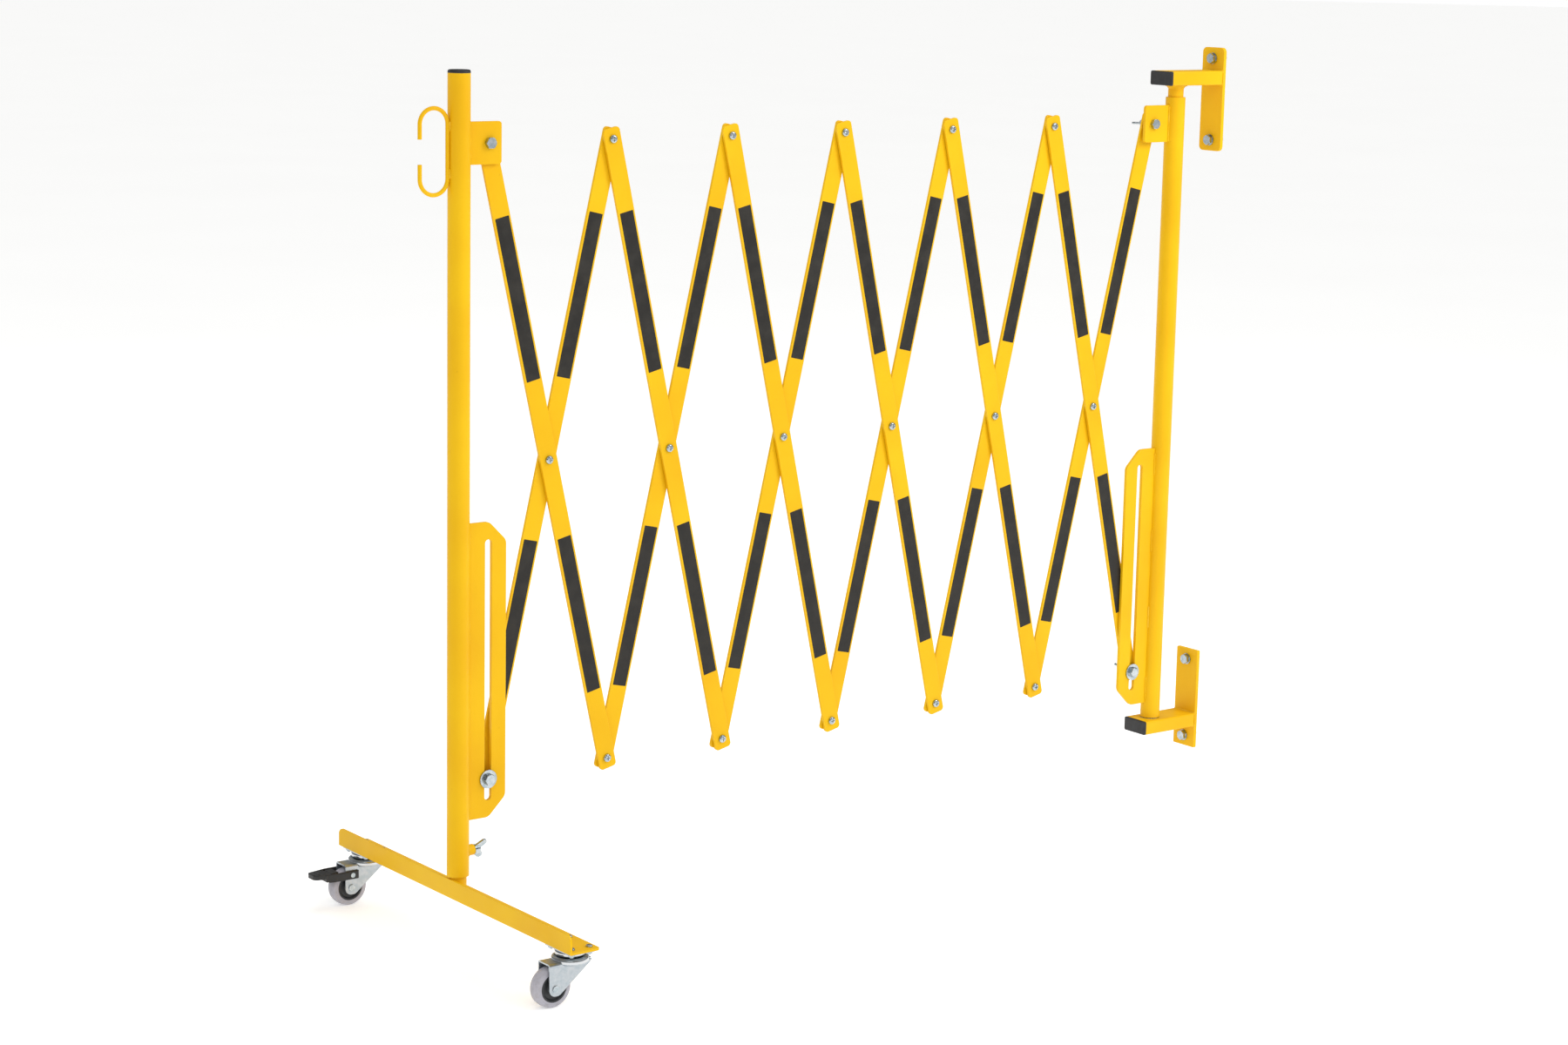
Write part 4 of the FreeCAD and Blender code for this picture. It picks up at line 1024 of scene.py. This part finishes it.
@dataclass
class Castings:
    """Cast and moulded pieces, whose edges are soft all over."""

    frame: Frame
    zinc_voxel: float = 0.33 * MM
    pedal_voxel: float = 0.42 * MM
    softening: float = 0.5
    rounds: int = 6

    def build(self) -> None:
        """Replaces the wing nuts, the clamp screw and the pedal."""
        for node in ("wall_ear_wing_nut", "wall_slot_wing_nut", "clamp_screw"):
            mesh = self.cast(node, self.zinc_voxel)
            place_piece(f"cast_{node}", mesh, Surface.ZINC, node, "zinc", (node,))
        place_piece("moulded_brake_pedal", self.cast("brake_pedal", self.pedal_voxel), Surface.PEDAL,
                    "brake_pedal", "black_plastic", ("brake_pedal",))

    def cast(self, node: str, voxel: float) -> Mesh:
        """Copy of a CAD node with the soft edges of a cast or moulded piece.

        Args:
            node: The CAD node.
            voxel: Size of the remesh.

        Returns:
            The new mesh.
        """
        source = self.frame["nodes"][node].data.copy()
        work = bmesh.new()
        work.from_mesh(source)
        bmesh.ops.remove_doubles(work, verts=work.verts, dist=SAME_POINT)
        work.to_mesh(source)
        work.free()
        holder = add_object("cast", source)
        remesh = holder.modifiers.new("remesh", "REMESH")
        remesh.mode = "VOXEL"
        remesh.voxel_size = voxel
        remesh.use_smooth_shade = True
        soften = holder.modifiers.new("soften", "SMOOTH")
        soften.factor = self.softening
        soften.iterations = self.rounds
        return settled(holder)


@dataclass
class Seams:
    """Weld beads and bolt threads of the posts, the wall brackets and the foot."""

    frame: Frame
    ear_bead: float = 1.3 * MM
    ear_shares: Pairs = ((0.03, 0.97),)   # of the plate's height
    stitch_bead: float = 1.4 * MM
    stitch_shares: Pairs = ((0.02, 0.1), (0.3, 0.38), (0.6, 0.68), (0.9, 0.98))
    bead_out: tuple[float, float] = (0.25, 0.2)     # off the tube and off the plate, of the bead
    hook_bead: float = 1.5 * MM
    hook_tacks: Pairs = ((0.21, 0.3), (0.73, 0.82))
    hook_side: float = 1.9 * MM     # tacks beside the rod's middle
    hook_off: float = 0.1 * MM
    boss_bead: float = 1.3 * MM
    boss_off: float = 0.3 * MM
    boss_steps: int = 40
    arm_bead: float = 1.3 * MM
    arm_corner: float = 2.5 * MM
    collar_bead: float = 1.1 * MM
    sunk: float = 0.4 * MM          # beads below the end of an arm or collar
    spigot_bead: float = 1.5 * MM
    spigot_off: float = 0.3 * MM
    wall_pitch: float = 1.25 * MM
    wall_start: float = 0.5 * MM
    wall_bare: float = 1.2 * MM     # end of a wall bolt without thread

    def build(self) -> None:
        """Adds every bead and thread."""
        self.post("mobile_post")
        self.post("wall_post")
        self.brackets()
        self.foot()
        self.wall_threads()

    def tube(self, node: str) -> tuple[float, float]:
        """Axis x and radius of an upright tube."""
        low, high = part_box(node)
        return (low.x + high.x) / 2, (high.x - low.x) / 2

    def post(self, body: str) -> None:
        """Beads of one post.

        Args:
            body: The post's body, whose name its nodes' names start with.
        """
        welds = Welds(body)
        self.plate_seam(welds, f"{body}_ear", self.ear_shares, self.ear_bead)
        self.plate_seam(welds, f"{body}_slot_plate", self.stitch_shares, self.stitch_bead)
        if body == "mobile_post":
            self.hook(welds)
            self.boss(welds)
        welds.finish(f"{body}_welds")

    def plate_seam(self, welds: Welds, plate: str, shares: Pairs, bead: float) -> None:
        """Beads on both faces where a plate meets its tube.

        Args:
            welds: Beads of the body.
            plate: The plate's node.
            shares: Start and end of each bead as shares of the plate's height.
            bead: The bead's radius.
        """
        axis_x, radius = self.tube(f"{welds.body}_tube")
        low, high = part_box(plate)
        half = (high.y - low.y) / 2
        off_tube, off_plate = (bead * share for share in self.bead_out)
        side = math.copysign(1.0, (low.x + high.x) / 2 - axis_x)
        x = axis_x + side * (math.sqrt(radius ** 2 - half ** 2) + off_tube)
        for first, last in shares:
            for face in (-1, 1):
                welds.run([Vector((x, face * (half + off_plate), low.z + share * (high.z - low.z)))
                           for share in (first, last)], bead)

    def hook(self, welds: Welds) -> None:
        """Tacks that hold the hook's rod on both sides.

        Args:
            welds: Beads of the mobile post.
        """
        axis_x, radius = self.tube("mobile_post_tube")
        low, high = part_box("cable_hook")
        for first, last in self.hook_tacks:
            for side in (-self.hook_side, self.hook_side):
                welds.run([Vector((axis_x - radius - self.hook_off, side, low.z + share * (high.z - low.z)))
                           for share in (first, last)], self.hook_bead)

    def boss(self, welds: Welds) -> None:
        """Bead that follows the saddle where the clamp boss meets the tube.

        Args:
            welds: Beads of the mobile post.
        """
        axis_x, radius = self.tube("mobile_post_tube")
        low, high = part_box("clamp_boss")
        middle, boss_r = (low.z + high.z) / 2, (high.z - low.z) / 2
        points = []
        for c, s in circle(self.boss_steps):
            x = axis_x + math.sqrt(radius ** 2 - (boss_r * s) ** 2) + self.boss_off
            points.append(Vector((x, boss_r * s, middle + boss_r * c)))
        welds.run(points, self.boss_bead, True)

    def brackets(self) -> None:
        """Beads round each arm at its wall plate and round the upper spigot's collar."""
        welds = Welds("wall_brackets")
        cut = self.arm_corner
        for arm in ("upper_arm", "lower_arm"):
            low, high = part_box(arm)
            loop = [(low.y + cut, low.z), (high.y - cut, low.z), (high.y, low.z + cut),
                    (high.y, high.z - cut), (high.y - cut, high.z), (low.y + cut, high.z),
                    (low.y, high.z - cut), (low.y, low.z + cut)]
            welds.run([Vector((high.x - self.sunk, y, z)) for y, z in loop], self.arm_bead, True)
        x, radius = self.tube("upper_spigot")
        welds.ring(Vector((x, 0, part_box("upper_spigot")[1].z - self.sunk)), radius, self.collar_bead)
        welds.finish("wall_bracket_welds")

    def foot(self) -> None:
        """Bead where the spigot stands on the foot bar."""
        welds = Welds("foot")
        x, radius = self.tube("foot_spigot")
        centre = Vector((x, 0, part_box("foot_spigot")[0].z + self.spigot_off))
        welds.ring(centre, radius + self.spigot_off, self.spigot_bead)
        welds.finish("foot_welds")

    def wall_threads(self) -> None:
        """Threads of the four wall bolts beyond the plates."""
        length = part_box("wall_bolts")[1].x - self.wall_bare
        meshes = []
        for mount in self.frame["record"]["mounts"]:
            if mount["kind"] == "bolt_pattern":
                thread = Thread(mount["dims"]["stud_r_mm"] * MM, self.wall_pitch)
                reach = mount["dims"]["spacing_y_mm"] / 2 * MM
                for z in (mount["pos_m"][2] - reach, mount["pos_m"][2] + reach):
                    meshes.append(thread.mesh(Vector((self.wall_start, 0, z)), ALONG, length))
        place_piece("wall_bolt_threads", join_meshes(meshes), Surface.ZINC, "wall_brackets", "zinc")


@dataclass(frozen=True)
class Softbox:
    """Square area light."""

    name: str
    place: tuple[float, float, float]
    target: tuple[float, float, float]
    size: float
    watts: float

    def light(self) -> None:
        """Adds the light, turned to its target."""
        lamp = bpy.data.lights.new(self.name, "AREA")
        lamp.shape = "SQUARE"
        lamp.size = self.size
        lamp.energy = self.watts
        holder = add_object(self.name, lamp)
        holder.location = self.place
        aim = Vector(self.target) - Vector(self.place)
        holder.rotation_euler = aim.to_track_quat("-Z", "Y").to_euler()


TRELLIS_MIDDLE = (-0.65, 0.0, 0.4)
WALL_POST_TOP = (-0.1, 0.0, 0.85)
SOFTBOXES = (Softbox("key_softbox", (-3.2, -3.4, 3.6), TRELLIS_MIDDLE, 2.6, 30),
             Softbox("wall_end_softbox", (0.7, -1.7, 2.0), WALL_POST_TOP, 1.2, 30),
             Softbox("top_softbox", (-0.3, 0.6, 4.4), TRELLIS_MIDDLE, 3.2, 34),
             Softbox("rear_softbox", (-1.0, 4.0, 2.6), TRELLIS_MIDDLE, 3.0, 16))


@dataclass
class Stage:
    """Floor, surround and camera."""

    frame: Frame
    floor_r: float = 60.0
    floor_steps: int = 96
    surround_light: float = 0.74
    surround_mirrored: float = 0.2
    # The camera stands off the mobile post's top pivot and looks right, down and rolled, in degrees.
    camera_off: tuple[float, float, float] = (-2.0727, -3.3337, 0.2676)
    camera_turn: tuple[float, float, float] = (37.23, 10.55, 1.17)
    sensor_mm: float = 36.0
    lens_mm: float = 73.8
    far_clip: float = 200.0

    def build(self) -> None:
        """Adds everything round the object."""
        self.floor()
        for softbox in SOFTBOXES:
            softbox.light()
        self.surround()
        self.camera()
        bpy.context.scene.view_settings.view_transform = "Standard"

    def floor(self) -> None:
        """Adds a large pale disc."""
        mesh = bpy.data.meshes.new("studio_floor")
        work = bmesh.new()
        bmesh.ops.create_circle(work, cap_ends=True, segments=self.floor_steps, radius=self.floor_r)
        work.to_mesh(mesh)
        work.free()
        mesh.materials.append(material(Surface.FLOOR))
        disc = add_object("studio_floor", mesh)
        disc.location.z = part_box("front_tyre")[0].z

    def surround(self) -> None:
        """White surround: seen as white, a little dimmer as light, and darker in reflections, as the
        dark half of a studio room would be."""
        world = bpy.data.worlds.new("white_studio")
        bpy.context.scene.world = world
        world.use_nodes = True
        tree = world.node_tree
        rays = add_node(tree, "ShaderNodeLightPath").outputs
        light = add_node(tree, "ShaderNodeMapRange", None,
                         {0: rays["Is Glossy Ray"], 1: 0.0, 2: 1.0, 3: self.surround_light,
                          4: self.surround_mirrored})
        seen = add_node(tree, "ShaderNodeMath", {"operation": "MAXIMUM"},
                        {0: light.outputs[0], 1: rays["Is Camera Ray"]})
        background = tree.nodes["Background"]
        background.inputs["Color"].default_value = linear("#FFFFFF")
        tree.links.new(seen.outputs[0], background.inputs["Strength"])

    def camera(self) -> None:
        """Stands the camera in front of the mobile post's side, looking slightly down."""
        azimuth, pitch, roll = (math.radians(a) for a in self.camera_turn)
        forward = Vector((math.sin(azimuth) * math.cos(pitch), math.cos(azimuth) * math.cos(pitch),
                          -math.sin(pitch)))
        side = Vector((math.cos(azimuth), -math.sin(azimuth), 0.0))
        above = side.cross(forward)
        axes = Matrix((side * math.cos(roll) + above * math.sin(roll),
                       above * math.cos(roll) - side * math.sin(roll), -forward)).transposed().to_4x4()
        lens = bpy.data.cameras.new("camera")
        lens.sensor_width = self.sensor_mm
        lens.lens = self.lens_mm
        lens.clip_end = self.far_clip
        holder = add_object("camera", lens)
        place = joint_place(self.frame, "mobile_post_pivot") + Vector(self.camera_off)
        holder.matrix_world = Matrix.Translation(place) @ axes
        bpy.context.scene.camera = holder


SLOT_SURFACES = {"yellow_paint": Surface.POWDER, "black_plastic": Surface.CAP, "zinc": Surface.ZINC,
                 "tyre_rubber": Surface.TYRE}
NODE_SURFACES = {"front_hub": Surface.HUB, "rear_hub": Surface.HUB, "brake_pedal": Surface.PEDAL,
                 "front_fork": Surface.FORK, "rear_fork": Surface.FORK}


def dress_nodes(frame: Frame) -> None:
    """Gives every CAD node its finish.
    """
    slots = {part["node"]: part["material_slot"] for part in frame["record"]["subparts"]}
    for name, holder in frame["nodes"].items():
        surface = NODE_SURFACES.get(name, SLOT_SURFACES[slots[name]])
        for slot in holder.material_slots:
            slot.material = material(surface)


def main() -> None:
    """Builds the looks round the frame."""
    logging.basicConfig(level=logging.INFO, format="%(message)s")
    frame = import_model()
    dress_nodes(frame)
    for group in (Stage, Trellis, Casters, Castings, Seams):
        group(frame).build()


if __name__ == "__main__":
    main()
